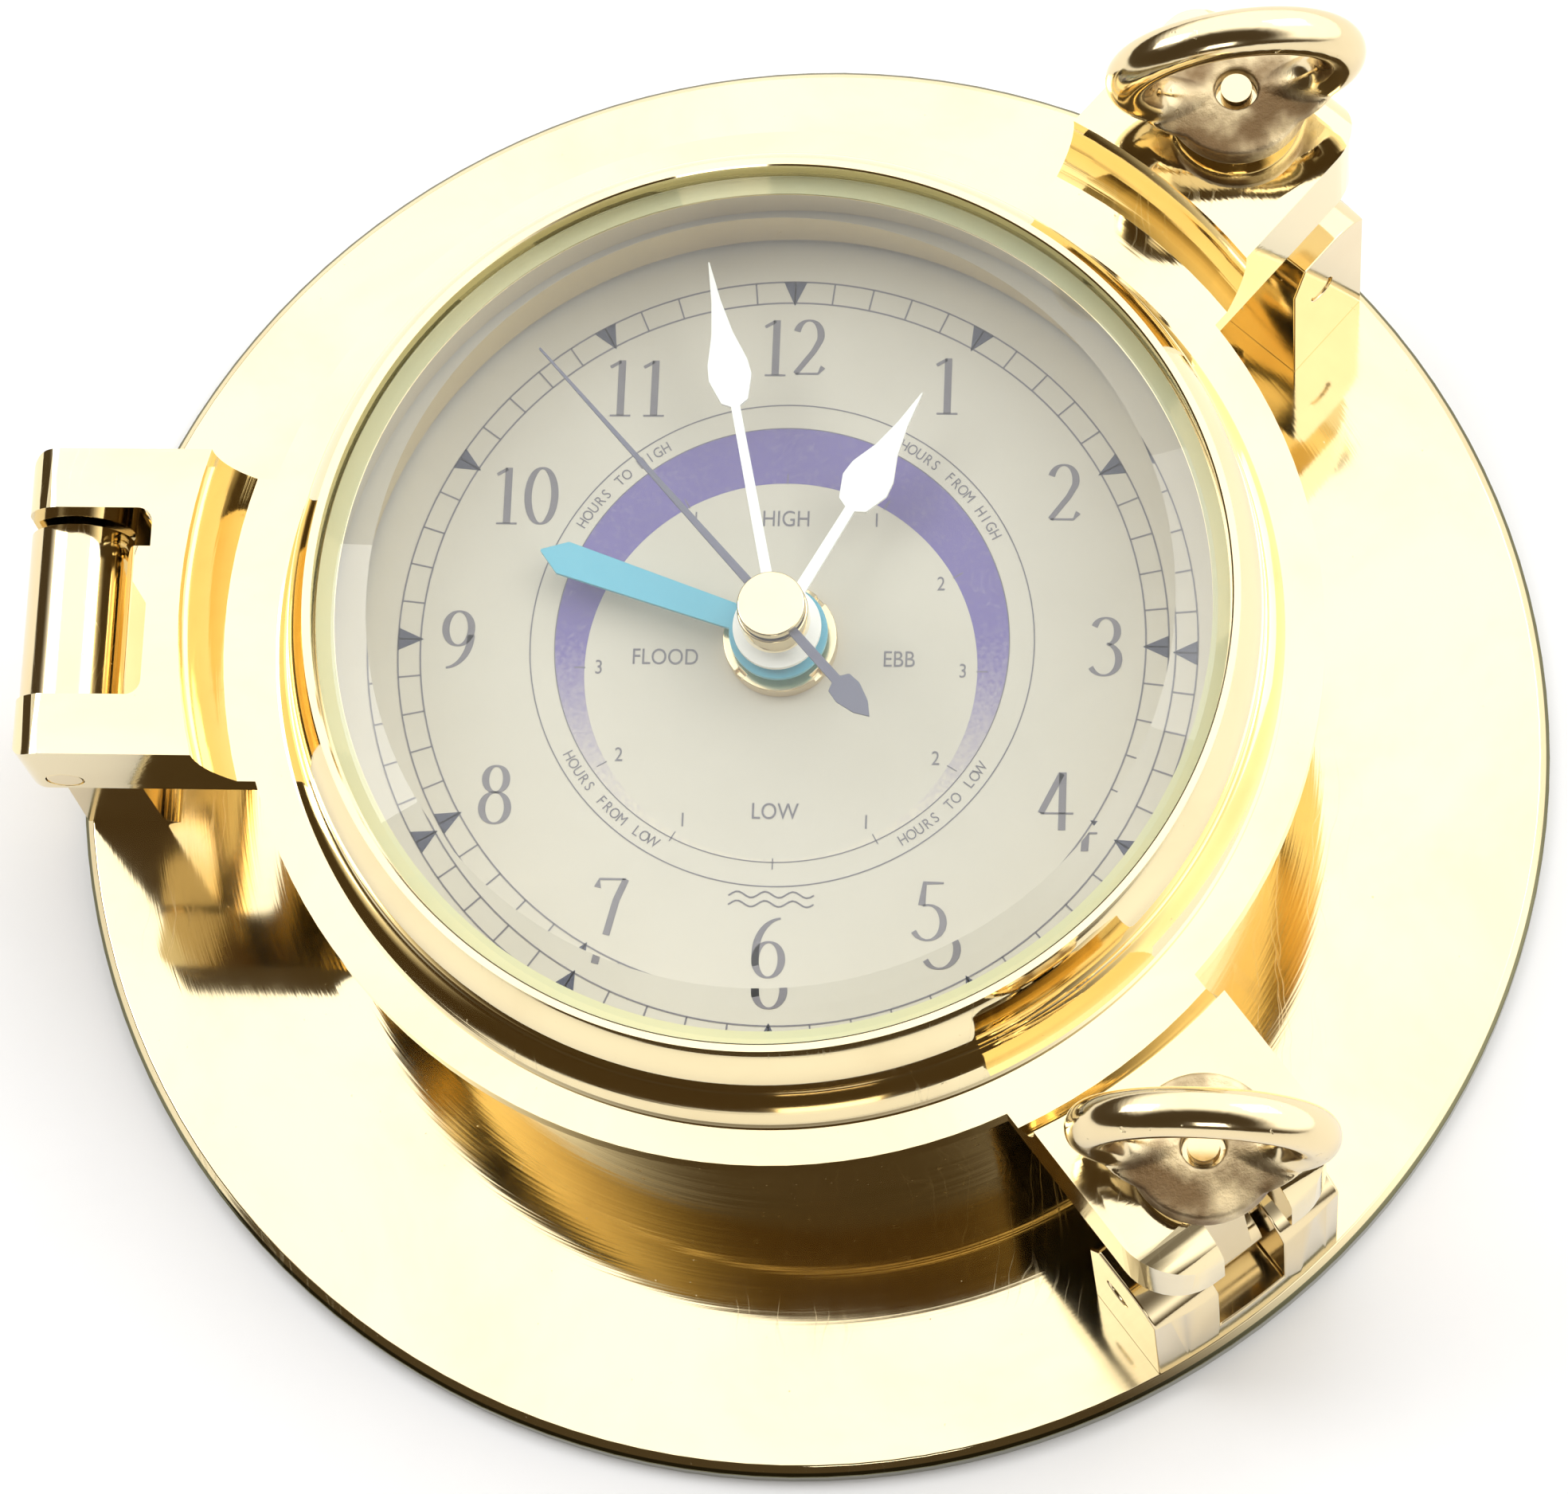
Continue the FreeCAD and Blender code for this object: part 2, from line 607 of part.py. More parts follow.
# Dial, its screws and what clamps the movement to it.
BUSHING_RADIUS, BUSHING_BORE = 3.9, 2.38
dial_face = size("dial_back + dial_thick")
dial_plate = lathe("dial_plate", [
    ("4.0", "dial_back"),
    ("dial_radius", "dial_back"),
    ("dial_radius", "dial_back + dial_thick"),
    ("4.0", "dial_back + dial_thick"),
])
sketch = add_sketch(dial_plate, "XY_Plane", "dial_back")
draw_circles(sketch, [(f"{x:.4f}", f"{y:.4f}", "0.9") for x, y in dial_screws_at])
extrude(dial_plate, "Pocket", sketch, None, both=True)
dial_screw = slotted_screw(0.8, 2.6, 1.25, 0.6)
dial_screw.rotate(Vector(0, 0, 0), Vector(1, 0, 0), 180)
dial_screws = [moved(dial_screw, x, y, dial_face, 20.0) for x, y in dial_screws_at]
add_shape("dial_screws", Part.makeCompound(dial_screws))
case_top, case_bottom, case_split = size("case_top"), size("case_bottom"), size("case_split")
add_shape("dial_washer", tube(9.0, BUSHING_RADIUS + 0.1, case_top, size("dial_back")))
add_shape("centre_bushing", tube(BUSHING_RADIUS, BUSHING_BORE, case_top - 1.1, 37.8))
nut_blank = tube(5.5, BUSHING_RADIUS, dial_face, dial_face + 1.8)
nut_notch = block(4.9, 6.0, -0.5, 0.5, dial_face + 1.0, dial_face + 2.0)
nut_notches = [moved(nut_notch, turn=45 + 90 * i) for i in range(4)]
add_shape("fixing_nut", nut_blank.cut(Part.makeCompound(nut_notches)))

# Movement case, in two halves with the arbors' holes.
half, wall = size("case_half"), size("case_wall")
minute_x, minute_y = spot(MINUTE_DISTANCE, MINUTE_ANGLE)
tide_module = 2 * MINUTE_DISTANCE / (TIDE_TEETH + TIDE_PINION)
tide_knob_distance = tide_module * (TIDE_TEETH + TIDE_KNOB_TEETH) / 2
knob_x, knob_y = spot(tide_knob_distance, TIDE_KNOB_ANGLE)
ARBOR = 0.8


def case_shell(low, high, floor_low):
    """An open box with rounded corners and its floor at one end."""
    outer = block(-half, half, -half, half, low, high)
    upright = [edge for edge in outer.Edges if abs(edge.tangentAt(edge.FirstParameter).z) > 0.9]
    outer = outer.makeFillet(3.0, upright)
    inner = half - wall
    z0 = low + wall if floor_low else low
    z1 = high if floor_low else high - wall
    return outer.cut(block(-inner, inner, -inner, inner, z0, z1))


movement_front = case_shell(case_split, case_top, False)
movement_front = movement_front.cut(tube(BUSHING_RADIUS, 0, case_top - 3, case_top + 1))
add_shape("movement_front", movement_front)
movement_back = case_shell(case_bottom, case_split, True)
for x, y in ((minute_x, minute_y), (knob_x, knob_y)):
    movement_back = movement_back.cut(moved(tube(ARBOR + 0.09, 0, case_bottom - 1, case_bottom + 3), x, y))
add_shape("movement_back", movement_back)

# Gear train. Each arbor's wheels turn together, so each arbor is one moulded piece.
thick = size("gear_thick")
third_x, third_y = spot(THIRD_DISTANCE, THIRD_ANGLE)
fifth_x, fifth_y = spot(FIFTH_DISTANCE, FIFTH_ANGLE)
rotor_x, rotor_y = fifth_x + ROTOR_DISTANCE, fifth_y
second_module = 2 * FIFTH_DISTANCE / (SECOND_TEETH + FIFTH_PINION)
third_module = 2 * THIRD_DISTANCE / (THIRD_TEETH + SECOND_PINION)
centre_module = 2 * THIRD_DISTANCE / (CENTRE_TEETH + THIRD_PINION)
cannon_module = 2 * MINUTE_DISTANCE / (MINUTE_TEETH + CANNON_TEETH)
hour_module = 2 * MINUTE_DISTANCE / (HOUR_TEETH + MINUTE_PINION)
fifth_module = 2 * ROTOR_DISTANCE / (FIFTH_TEETH + ROTOR_PINION)
case_floor, case_roof = case_bottom + wall + 0.2, case_top - wall - 0.2


def join(*shapes):
    """Several touching shapes as one clean solid."""
    return shapes[0].multiFuse(list(shapes[1:])).removeSplitter()


second_wheel = join(
    gear(second_module, SECOND_TEETH, SECOND_LAYER, thick, spokes=5),
    gear(third_module, SECOND_PINION, THIRD_LAYER, thick),
    tube(0.5, 0, case_floor, 47.0),
)
add_shape("second_wheel", second_wheel)
third_first = meshing_tooth(THIRD_ANGLE, SECOND_PINION, 0, THIRD_TEETH)
third_wheel = join(
    gear(third_module, THIRD_TEETH, THIRD_LAYER, thick, spokes=5, first_tooth=third_first),
    gear(centre_module, THIRD_PINION, CENTRE_LAYER, thick),
    tube(0.7, 0, case_floor, CENTRE_LAYER + thick + 0.4),
)
add_shape("third_wheel", moved(third_wheel, third_x, third_y))
centre_first = meshing_tooth(THIRD_ANGLE + 180, THIRD_PINION, 0, CENTRE_TEETH)
MINUTE_TUBE, HOUR_TUBE, TIDE_TUBE = 1.05, 1.6, 2.3
MINUTE_BORE, HOUR_BORE, TIDE_BORE = 0.58, 1.13, 1.68
centre_wheel = join(
    gear(centre_module, CENTRE_TEETH, CENTRE_LAYER, thick, spokes=6, first_tooth=centre_first),
    gear(cannon_module, CANNON_TEETH, CANNON_LAYER, thick),
    tube(MINUTE_TUBE, 0, CENTRE_LAYER, 42.7),
).cut(tube(MINUTE_BORE, 0, CENTRE_LAYER - 1, 43.7))
add_shape("centre_wheel", centre_wheel)
minute_first = meshing_tooth(MINUTE_ANGLE, CANNON_TEETH, 0, MINUTE_TEETH)
minute_wheel = join(
    gear(cannon_module, MINUTE_TEETH, CANNON_LAYER, thick, spokes=5, first_tooth=minute_first),
    gear(hour_module, MINUTE_PINION, HOUR_LAYER, thick),
    gear(tide_module, TIDE_PINION, TIDE_LAYER, thick),
    tube(ARBOR, 0, 13.4, case_roof),
)
add_shape("minute_wheel", moved(minute_wheel, minute_x, minute_y))
hour_first = meshing_tooth(MINUTE_ANGLE + 180, MINUTE_PINION, 0, HOUR_TEETH)
hour_wheel = join(
    gear(hour_module, HOUR_TEETH, HOUR_LAYER, thick, spokes=5, first_tooth=hour_first),
    tube(HOUR_TUBE, 0, HOUR_LAYER, 40.9),
).cut(tube(HOUR_BORE, 0, HOUR_LAYER - 1, 41.9))
add_shape("hour_wheel", hour_wheel)
tide_first = meshing_tooth(MINUTE_ANGLE + 180, TIDE_PINION, 0, TIDE_TEETH)
tide_wheel = join(
    gear(tide_module, TIDE_TEETH, TIDE_LAYER, thick, spokes=5, first_tooth=tide_first),
    tube(TIDE_TUBE, 0, TIDE_LAYER, 39.2),
).cut(tube(TIDE_BORE, 0, TIDE_LAYER - 1, 40.2))
add_shape("tide_wheel", tide_wheel)
knob_first = meshing_tooth(TIDE_KNOB_ANGLE, TIDE_TEETH, tide_first, TIDE_KNOB_TEETH)
tide_setting_wheel = join(
    gear(tide_module, TIDE_KNOB_TEETH, TIDE_LAYER, thick, first_tooth=knob_first),
    tube(ARBOR, 0, 13.4, case_roof),
)
add_shape("tide_setting_wheel", moved(tide_setting_wheel, knob_x, knob_y))
fifth_pinion_first = meshing_tooth(FIFTH_ANGLE, SECOND_TEETH, 0, FIFTH_PINION)
fifth_wheel = join(
    gear(fifth_module, FIFTH_TEETH, FIFTH_LAYER, thick, spokes=4),
    gear(second_module, FIFTH_PINION, SECOND_LAYER, thick, first_tooth=fifth_pinion_first),
    tube(0.6, 0, case_floor, SECOND_LAYER + thick + 0.4),
)
add_shape("fifth_wheel", moved(fifth_wheel, fifth_x, fifth_y))
rotor_first = meshing_tooth(ROTOR_ANGLE, FIFTH_TEETH, 0, ROTOR_PINION)
rotor = join(
    gear(fifth_module, ROTOR_PINION, FIFTH_LAYER, thick, first_tooth=rotor_first),
    tube(0.5, 0, case_floor, 25.6),
    tube(2.6, 0, 20.8, 25.0),
)
add_shape("rotor", moved(rotor, rotor_x, rotor_y))


def knob(radius, low, high, ribs):
    """A setting knob with a grooved rim, bored for its arbor."""
    grooves = []
    for i in range(ribs):
        x, y = spot(radius + 0.15, 360 * i / ribs)
        grooves.append(Part.makeCylinder(0.45, high - low, Vector(x, y, low)))
    return tube(radius, 0, low, high).cut(Part.makeCompound(grooves)).cut(tube(ARBOR, 0, 13.4, high + 1))


add_shape("time_knob", moved(knob(5.0, 12.4, 16.9, 24), minute_x, minute_y))
add_shape("tide_knob", moved(knob(4.2, 12.4, 16.9, 20), knob_x, knob_y))

# Motor and electrics.
COIL_Y, COIL_Z, COIL_LOW_X, COIL_HIGH_X = -24.2, 21.6, 4.0, 22.0
core = block(COIL_LOW_X - 1.6, COIL_HIGH_X + 1.6, COIL_Y - 1.0, COIL_Y + 1.0, COIL_Z - 0.6, COIL_Z + 0.6)
coil = Part.makeCylinder(2.2, COIL_HIGH_X - COIL_LOW_X, Vector(COIL_LOW_X, COIL_Y, COIL_Z), Vector(1, 0, 0))
add_shape("coil_core", core)
add_shape("coil", coil.cut(core))
stator = block(12.4, 24.0, -26.0, -7.4, 24.1, 24.9).cut(moved(tube(3.1, 0, 23, 26), rotor_x, rotor_y))
add_shape("stator", stator)
add_shape("circuit_board", block(-26.0, -13.0, -24.0, -11.0, case_bottom + wall, case_bottom + wall + 1.0))
add_shape("chip", block(-24.0, -19.0, -22.0, -17.0, case_bottom + wall + 1.0, case_bottom + wall + 1.9))
crystal = Part.makeCylinder(1.0, 6.0, Vector(-17.0, -20.0, case_bottom + wall + 2.0), Vector(0, 1, 0))
add_shape("quartz_crystal", crystal)
BATTERY_Y, BATTERY_Z, BATTERY_RADIUS = -19.0, 11.6, 5.25
tray = block(-24.4, 24.4, BATTERY_Y - 6.6, BATTERY_Y + 6.6, 6.4, case_bottom)
tray = tray.cut(block(-23.2, 23.2, BATTERY_Y - 5.4, BATTERY_Y + 5.4, 5.4, case_bottom - 0.5))
add_shape("battery_tray", tray)
cell = Part.makeCylinder(BATTERY_RADIUS, 43.5, Vector(-22.2, BATTERY_Y, BATTERY_Z), Vector(1, 0, 0))
button = Part.makeCylinder(1.9, 1.0, Vector(21.3, BATTERY_Y, BATTERY_Z), Vector(1, 0, 0))
add_shape("battery", cell.fuse(button))
add_shape("contact_plus", block(22.3, 22.7, BATTERY_Y - 3, BATTERY_Y + 3, 7.6, 15.6))
add_shape("contact_minus", block(-22.8, -22.2, BATTERY_Y - 4, BATTERY_Y + 4, 7.6, 15.6))

# Hands, each a flat strip with a round hub.
tide_outline = [(1.2, 0), (1.7, 22.4), (0.1, 24.7), (-0.1, 24.7), (-1.7, 22.4), (-1.2, 0)]
tide_hand = join(hand_strip(tide_outline, 38.7, 0.5, TIDE_HAND_ANGLE), tube(4.75, 0, 38.6, 39.2))
add_shape("tide_hand", tide_hand.cut(tube(TIDE_TUBE, 0, 38, 40)))
hour_outline = spade(27.3, 16.4, 2.45, 13.6, 0.65, 0)
hour_hand = join(hand_strip(hour_outline, 40.4, 0.4, HOUR_HAND_ANGLE), tube(4.25, 0, 40.3, 40.9))
add_shape("hour_hand", hour_hand.cut(tube(HOUR_TUBE, 0, 40, 42)))
minute_outline = spade(37.4, 25.2, 2.1, 22.2, 0.55, 0)
minute_hand = join(hand_strip(minute_outline, 42.2, 0.4, MINUTE_HAND_ANGLE), tube(3.0, 0, 42.1, 42.7))
add_shape("minute_hand", minute_hand.cut(tube(MINUTE_TUBE, 0, 41, 43)))
add_shape("hand_nut", tube(3.4, 0.6, 42.7, 45.9))
second_outline = [
    (0.45, 0), (0.12, 35.1), (-0.12, 35.1), (-0.45, 0), (-0.5, -9.5), (-1.3, -9.9),
    (-1.45, -11.2), (-0.9, -13.1), (0, -14.4), (0.9, -13.1), (1.45, -11.2), (1.3, -9.9), (0.5, -9.5),
]
second_hand = join(hand_strip(second_outline, 46.2, 0.3, SECOND_HAND_ANGLE), tube(1.6, 0, 46.1, 46.6))
add_shape("second_hand", second_hand.cut(tube(0.5, 0, 45, 48)))
cap = tube(3.25, 0, 46.6, 47.6).cut(tube(0.5, 0, 46, 47.0))
add_shape("hand_cap", cap)

# Dogs: a clevis, its pin, a swing bolt and an eye nut at each side of the door.
NECK_HALF, NECK_HEIGHT = 2.2, 16.0
TIP_LENGTH = 2.0
PIN_INSET = 0.2
LOOP_HALF, LOOP_RISE, LOOP_CENTRE, LOOP_BAR = 10.2, 7.6, 9.1, 2.3
BOWL = [(0, 0), (5.4, 0), (6.6, 1.0), (7.1, 2.4), (6.8, 4.0), (0, 4.0)]
DISH = [(0, 0.2), (3.6, 0.2), (4.9, 1.2), (5.2, 2.3), (0, 2.3)]
DISH_LIFT, DISH_STRETCH = 1.7, 1.9
NUT_TURN = {"upper": 8.8, "lower": -1.1}
dog_radius, pivot_height = size("dog_circle"), size("pivot_height")
lug_half, pivot_radius = size("dog_lug_half"), size("pivot_radius")
eye_radius, eye_half = size("eye_radius"), size("eye_thick") / 2
bolt_radius, bolt_top = size("bolt_radius"), size("bolt_top")
seat = size("nut_seat")


def crossbar(radius, half_length):
    """A rod along Y through a dog's pivot."""
    start = Vector(dog_radius, -half_length, pivot_height)
    return Part.makeCylinder(radius, 2 * half_length, start, Vector(0, 1, 0))


def turned_profile(profile):
    """A round solid about Z from its half section."""
    corners = [Vector(radius, 0, height) for radius, height in profile]
    face = Part.Face(Part.makePolygon(corners + corners[:1]))
    return face.revolve(Vector(0, 0, 0), Vector(0, 0, 1), 360)


def swing_bolt():
    """A bolt hanging on its eye, with a blade that narrows into the shank."""
    taper = [
        Vector(dog_radius - eye_radius, -NECK_HALF, pivot_height),
        Vector(dog_radius + eye_radius, -NECK_HALF, pivot_height),
        Vector(dog_radius + NECK_HALF, -NECK_HALF, pivot_height + NECK_HEIGHT),
        Vector(dog_radius - NECK_HALF, -NECK_HALF, pivot_height + NECK_HEIGHT),
    ]
    blade = Part.Face(Part.makePolygon(taper + taper[:1])).extrude(Vector(0, 2 * NECK_HALF, 0))
    shank_top = bolt_top - TIP_LENGTH
    shank = moved(tube(bolt_radius, 0, pivot_height + eye_radius, shank_top), dog_radius)
    tip = moved(tube(size("bolt_tip_radius"), 0, shank_top, bolt_top), dog_radius)
    bore = crossbar(pivot_radius + size("running_gap"), lug_half)
    return join(crossbar(eye_radius, eye_half), blade, shank, tip).cut(bore)


def eye_nut():
    """A round nut with a cast loop standing on it, threaded onto the bolt's shank."""
    middle = Vector(0, 0, seat + LOOP_CENTRE)
    path = Part.Ellipse(middle + Vector(LOOP_HALF, 0, 0), middle + Vector(0, 0, LOOP_RISE), middle)
    pieces = []
    for start in (0, math.pi):
        edge = path.toShape(start, start + math.pi)
        first = edge.FirstParameter
        section = Part.Circle(edge.valueAt(first), edge.tangentAt(first), LOOP_BAR)
        pieces.append(Part.Wire(edge).makePipeShell([Part.Wire(section.toShape())], True, False))
    bowl = turned_profile(BOWL)
    bowl.translate(Vector(0, 0, seat))
    stretch = FreeCAD.Matrix()
    stretch.scale(DISH_STRETCH, 1.0, 1.0)
    dish = turned_profile(DISH).transformGeometry(stretch)
    dish.translate(Vector(0, 0, seat + DISH_LIFT))
    below = block(-LOOP_HALF, LOOP_HALF, -LOOP_HALF, LOOP_HALF, seat - LOOP_RISE, seat)
    thread = tube(bolt_radius + size("running_gap"), 0, seat - LOOP_RISE, seat + LOOP_RISE - LOOP_BAR)
    return join(*pieces, bowl, dish).cut(below).cut(thread)


for side, angle_word in (("upper", "upper_dog_angle"), ("lower", "lower_dog_angle")):
    dog_angle = size(angle_word)
    clevis = new_body(f"{side}_clevis")
    sketch = add_sketch(clevis, "XZ_Plane", "0", angle_word)
    draw_outline(sketch, [
        ("clevis_inner", "plate_thick"),
        ("clevis_outer", "plate_thick"),
        ("clevis_outer", "clevis_top - 6"),
        ("clevis_outer - 5.6", "clevis_top", "clevis_outer - 1.7", "clevis_top - 1.7"),
        ("clevis_inner + 1.6", "clevis_top"),
        ("clevis_inner", "clevis_top - 4.2"),
    ])
    extrude(clevis, "Pad", sketch, "dog_lug_half * 2", both=True)
    sketch = add_sketch(clevis, "XZ_Plane", "0", angle_word)
    draw_circles(sketch, [("dog_circle", "pivot_height", "pivot_radius")])
    extrude(clevis, "Pocket", sketch, None, both=True)
    sketch = add_sketch(clevis, "XZ_Plane", "0", angle_word)
    draw_outline(sketch, [
        ("clevis_inner - 1", "clevis_floor"),
        ("clevis_outer + 1", "clevis_floor"),
        ("clevis_outer + 1", "clevis_top + 1"),
        ("clevis_inner - 1", "clevis_top + 1"),
    ])
    extrude(clevis, "Pocket", sketch, "dog_slot_half * 2", both=True)
    sketch = add_sketch(clevis, "XY_Plane", "plate_thick", angle_word)
    screw_places = [(str(CLEVIS_SCREW_RADIUS), str(offset), "1.5") for offset in CLEVIS_SCREW_OFFSETS]
    draw_circles(sketch, screw_places)
    extrude(clevis, "Pocket", sketch, "4.0", flip=True)
    # The outer face follows the edge of the plate.
    sketch = add_sketch(clevis, "XY_Plane", "plate_thick - 1")
    draw_circles(sketch, [("0", "0", "plate_radius - plate_bevel"), ("0", "0", "plate_radius + 5")])
    extrude(clevis, "Pocket", sketch, "clevis_top", flip=True)
    add_shape(f"{side}_pivot_pin", moved(crossbar(pivot_radius, lug_half - PIN_INSET), turn=dog_angle))
    add_shape(f"{side}_bolt", moved(swing_bolt(), turn=dog_angle))
    x, y = spot(dog_radius, dog_angle)
    add_shape(f"{side}_nut", moved(eye_nut(), x, y, 0, NUT_TURN[side]))

DOC.recompute()
problems = []
for thing in DOC.Objects:
    if any(state in ("Invalid", "Error") for state in thing.State):
        problems.append(f"{thing.Name} {thing.Label} {thing.State}")
os.makedirs("parts", exist_ok=True)
for piece in PARTS:
    shape = piece.Shape
    if shape.isNull() or not shape.isValid() or not shape.Solids:
        problems.append(f"{piece.Label} has no valid solid")
        continue
    shape.exportStep(f"parts/{piece.Label}.step")
    box = shape.optimalBoundingBox()
    low = [round(v, 2) for v in (box.XMin, box.YMin, box.ZMin)]
    high = [round(v, 2) for v in (box.XMax, box.YMax, box.ZMax)]
    print(piece.Label, len(shape.Solids), round(shape.Volume, 1), low, high)
if problems:
    raise RuntimeError("; ".join(problems))
print("pieces", len(PARTS))
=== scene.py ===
import bmesh
import bpy
import json
import math
from mathutils import Matrix, Vector

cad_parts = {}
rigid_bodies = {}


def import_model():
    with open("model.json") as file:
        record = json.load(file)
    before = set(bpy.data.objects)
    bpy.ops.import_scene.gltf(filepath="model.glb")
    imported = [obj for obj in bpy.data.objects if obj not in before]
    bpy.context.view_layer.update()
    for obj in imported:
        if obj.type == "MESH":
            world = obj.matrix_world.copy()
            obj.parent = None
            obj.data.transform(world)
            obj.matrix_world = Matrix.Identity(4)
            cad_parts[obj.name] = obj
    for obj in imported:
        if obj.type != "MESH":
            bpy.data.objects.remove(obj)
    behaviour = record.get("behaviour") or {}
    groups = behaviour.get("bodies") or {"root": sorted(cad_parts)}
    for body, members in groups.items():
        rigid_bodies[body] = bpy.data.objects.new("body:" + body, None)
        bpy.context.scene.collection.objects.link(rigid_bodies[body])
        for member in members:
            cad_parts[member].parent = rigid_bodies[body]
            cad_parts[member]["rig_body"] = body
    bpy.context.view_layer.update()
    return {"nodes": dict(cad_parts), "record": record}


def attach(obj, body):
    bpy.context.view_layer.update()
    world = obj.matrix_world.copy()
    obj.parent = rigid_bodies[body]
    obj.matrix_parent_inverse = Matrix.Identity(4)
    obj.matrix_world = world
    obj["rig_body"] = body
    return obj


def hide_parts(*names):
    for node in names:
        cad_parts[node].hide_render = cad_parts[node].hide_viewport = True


# Looks of a brass porthole clock with a time-and-tide dial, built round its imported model.
# The frame's origin is the centre of the plate's back, +Z out of the dial, +Y to 12 o'clock.

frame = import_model()

MM = 0.001
FULL_TURN = 2 * math.pi
CASE_STEPS, GLASS_STEPS, PRINT_STEPS, CRESCENT_STEPS = 256, 192, 144, 128
MERGE = 0.0000005
PACKED_MERGE = 0.000002

# Sizes in millimetres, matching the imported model.
PLATE_RADIUS, PLATE_THICK, PLATE_BEVEL = 75.0, 3.0, 1.0
BARREL_RADIUS, BARREL_BORE, BARREL_TOP = 47.5, 45.0, 36.2
BARREL_FOOT_BORE, BARREL_FOOT_TOP = 41.0, 7.0
LEDGE_BORE, LEDGE_BOTTOM, DIAL_BACK = 41.8, 32.0, 34.6
DIAL_RADIUS, DIAL_FACE = 44.5, 35.6
BEZEL_FOOT, BEZEL_SEAT, BEZEL_TOP, BEZEL_RIM, BEZEL_BORE = 48.7, 39.4, 51.5, 44.3, 41.3
BEZEL_BOTTOM, RING_BORE = 36.8, 45.3
GLASS_RADIUS, GLASS_BOTTOM, GLASS_TOP, GLASS_FLAT, GLASS_EDGE = 43.3, 48.0, 51.2, 38.2, 1.9
DOG_CIRCLE, UPPER_DOG, LOWER_DOG = 67.0, 50.0, -51.5


# ---------------------------------------------------------------- node helpers

def node(tree, kind, settings=None, **inputs):
    """Adds a shader node. An input is named by its label, or i0, i1 by its place."""
    made = tree.nodes.new("ShaderNode" + kind)
    for field, value in (settings or {}).items():
        setattr(made, field, value)
    for name, value in inputs.items():
        by_place = name[0] == "i" and name[1:].isdigit()
        socket = made.inputs[int(name[1:])] if by_place else made.inputs[name.replace("_", " ")]
        if isinstance(value, bpy.types.NodeSocket):
            tree.links.new(value, socket)
        else:
            socket.default_value = value
    return made


def maths(tree, operation, first, second=0.0, clamp=False):
    made = node(tree, "Math", {"operation": operation, "use_clamp": clamp}, i0=first, i1=second)
    return made.outputs[0]


def blend_colour(tree, factor, first, second):
    made = node(tree, "Mix", {"data_type": "RGBA"}, i0=factor, i6=first, i7=second)
    return made.outputs[2]


def noise(tree, place, scale, detail=3.0, roughness=0.5, distortion=0.0):
    made = node(tree, "TexNoise", None, Vector=place, Scale=scale, Detail=detail,
                Roughness=roughness, Distortion=distortion)
    return made.outputs[0]


def step_up(tree, value, low, high):
    """0 below low, 1 above high, and a smooth rise between."""
    made = node(tree, "MapRange", {"interpolation_type": "SMOOTHSTEP"},
                Value=value, From_Min=low, From_Max=high)
    return made.outputs[0]


def object_place(tree):
    return node(tree, "TexCoord").outputs["Object"]


def effect(name, inputs, outputs):
    """A shader node group with named number inputs and outputs."""
    group = bpy.data.node_groups.new(name, "ShaderNodeTree")
    for label, value in inputs.items():
        socket = group.interface.new_socket(name=label, in_out="INPUT", socket_type="NodeSocketFloat")
        socket.default_value = value
    for label in outputs:
        group.interface.new_socket(name=label, in_out="OUTPUT", socket_type="NodeSocketFloat")
    entry = group.nodes.new("NodeGroupInput")
    leave = group.nodes.new("NodeGroupOutput")
    return group, entry.outputs, leave.inputs


def use_effect(tree, group, **values):
    """Places an effect in a material with its own values."""
    made = tree.nodes.new("ShaderNodeGroup")
    made.node_tree = group
    for name, value in values.items():
        made.inputs[name.replace("_", " ")].default_value = value
    return made.outputs


# ---------------------------------------------------------------- shared effects

def make_lathe_lines():
    """Fine rings left by turning about the clock's own axis."""
    group, given, out = effect("Lathe Lines", {"Lines Per Millimetre": 3.0}, ["Height"])
    place = node(group, "SeparateXYZ", None, Vector=object_place(group))
    across = maths(group, "MULTIPLY", place.outputs[0], place.outputs[0])
    along = maths(group, "MULTIPLY", place.outputs[1], place.outputs[1])
    radius = maths(group, "SQRT", maths(group, "ADD", across, along))
    density = maths(group, "MULTIPLY", given[0], 1000.0)
    ring = maths(group, "MULTIPLY", radius, density)
    level = maths(group, "MULTIPLY", place.outputs[2], density)
    lines = node(group, "CombineXYZ", None, X=ring, Y=level, Z=0.0)
    group.links.new(noise(group, lines.outputs[0], 1.0, 2.0), out[0])
    return group


# Scratches wander by a few millimetres and are drawn out along one slanting direction.
HAIRLINE_BEND = (0.006, 0.006, 0.006)
HAIRLINE_TURN = (0.4, 0.3, 0.6)
HAIRLINE_STRETCH = (1.6, 0.09, 0.09)


def make_hairlines():
    """Sparse wiping scratches that run in patches."""
    group, given, out = effect("Hairlines", {"Spread": 260.0, "Width": 0.012}, ["Mask"])
    place = object_place(group)
    wander = node(group, "TexNoise", None, Vector=place, Scale=90.0, Detail=2.0)
    bent = node(group, "VectorMath", {"operation": "MULTIPLY_ADD"},
                i0=wander.outputs[1], i1=HAIRLINE_BEND, i2=place)
    drawn = node(group, "Mapping", None, Vector=bent.outputs[0],
                 Rotation=HAIRLINE_TURN, Scale=HAIRLINE_STRETCH)
    cells = node(group, "TexVoronoi", {"feature": "DISTANCE_TO_EDGE"},
                 Vector=drawn.outputs[0], Scale=given[0])
    near = maths(group, "LESS_THAN", cells.outputs["Distance"], given[1])
    patch = step_up(group, noise(group, place, 55.0, 2.0), 0.5, 0.62)
    group.links.new(maths(group, "MULTIPLY", near, patch), out[0])
    return group


SPECK_FADE = 0.06


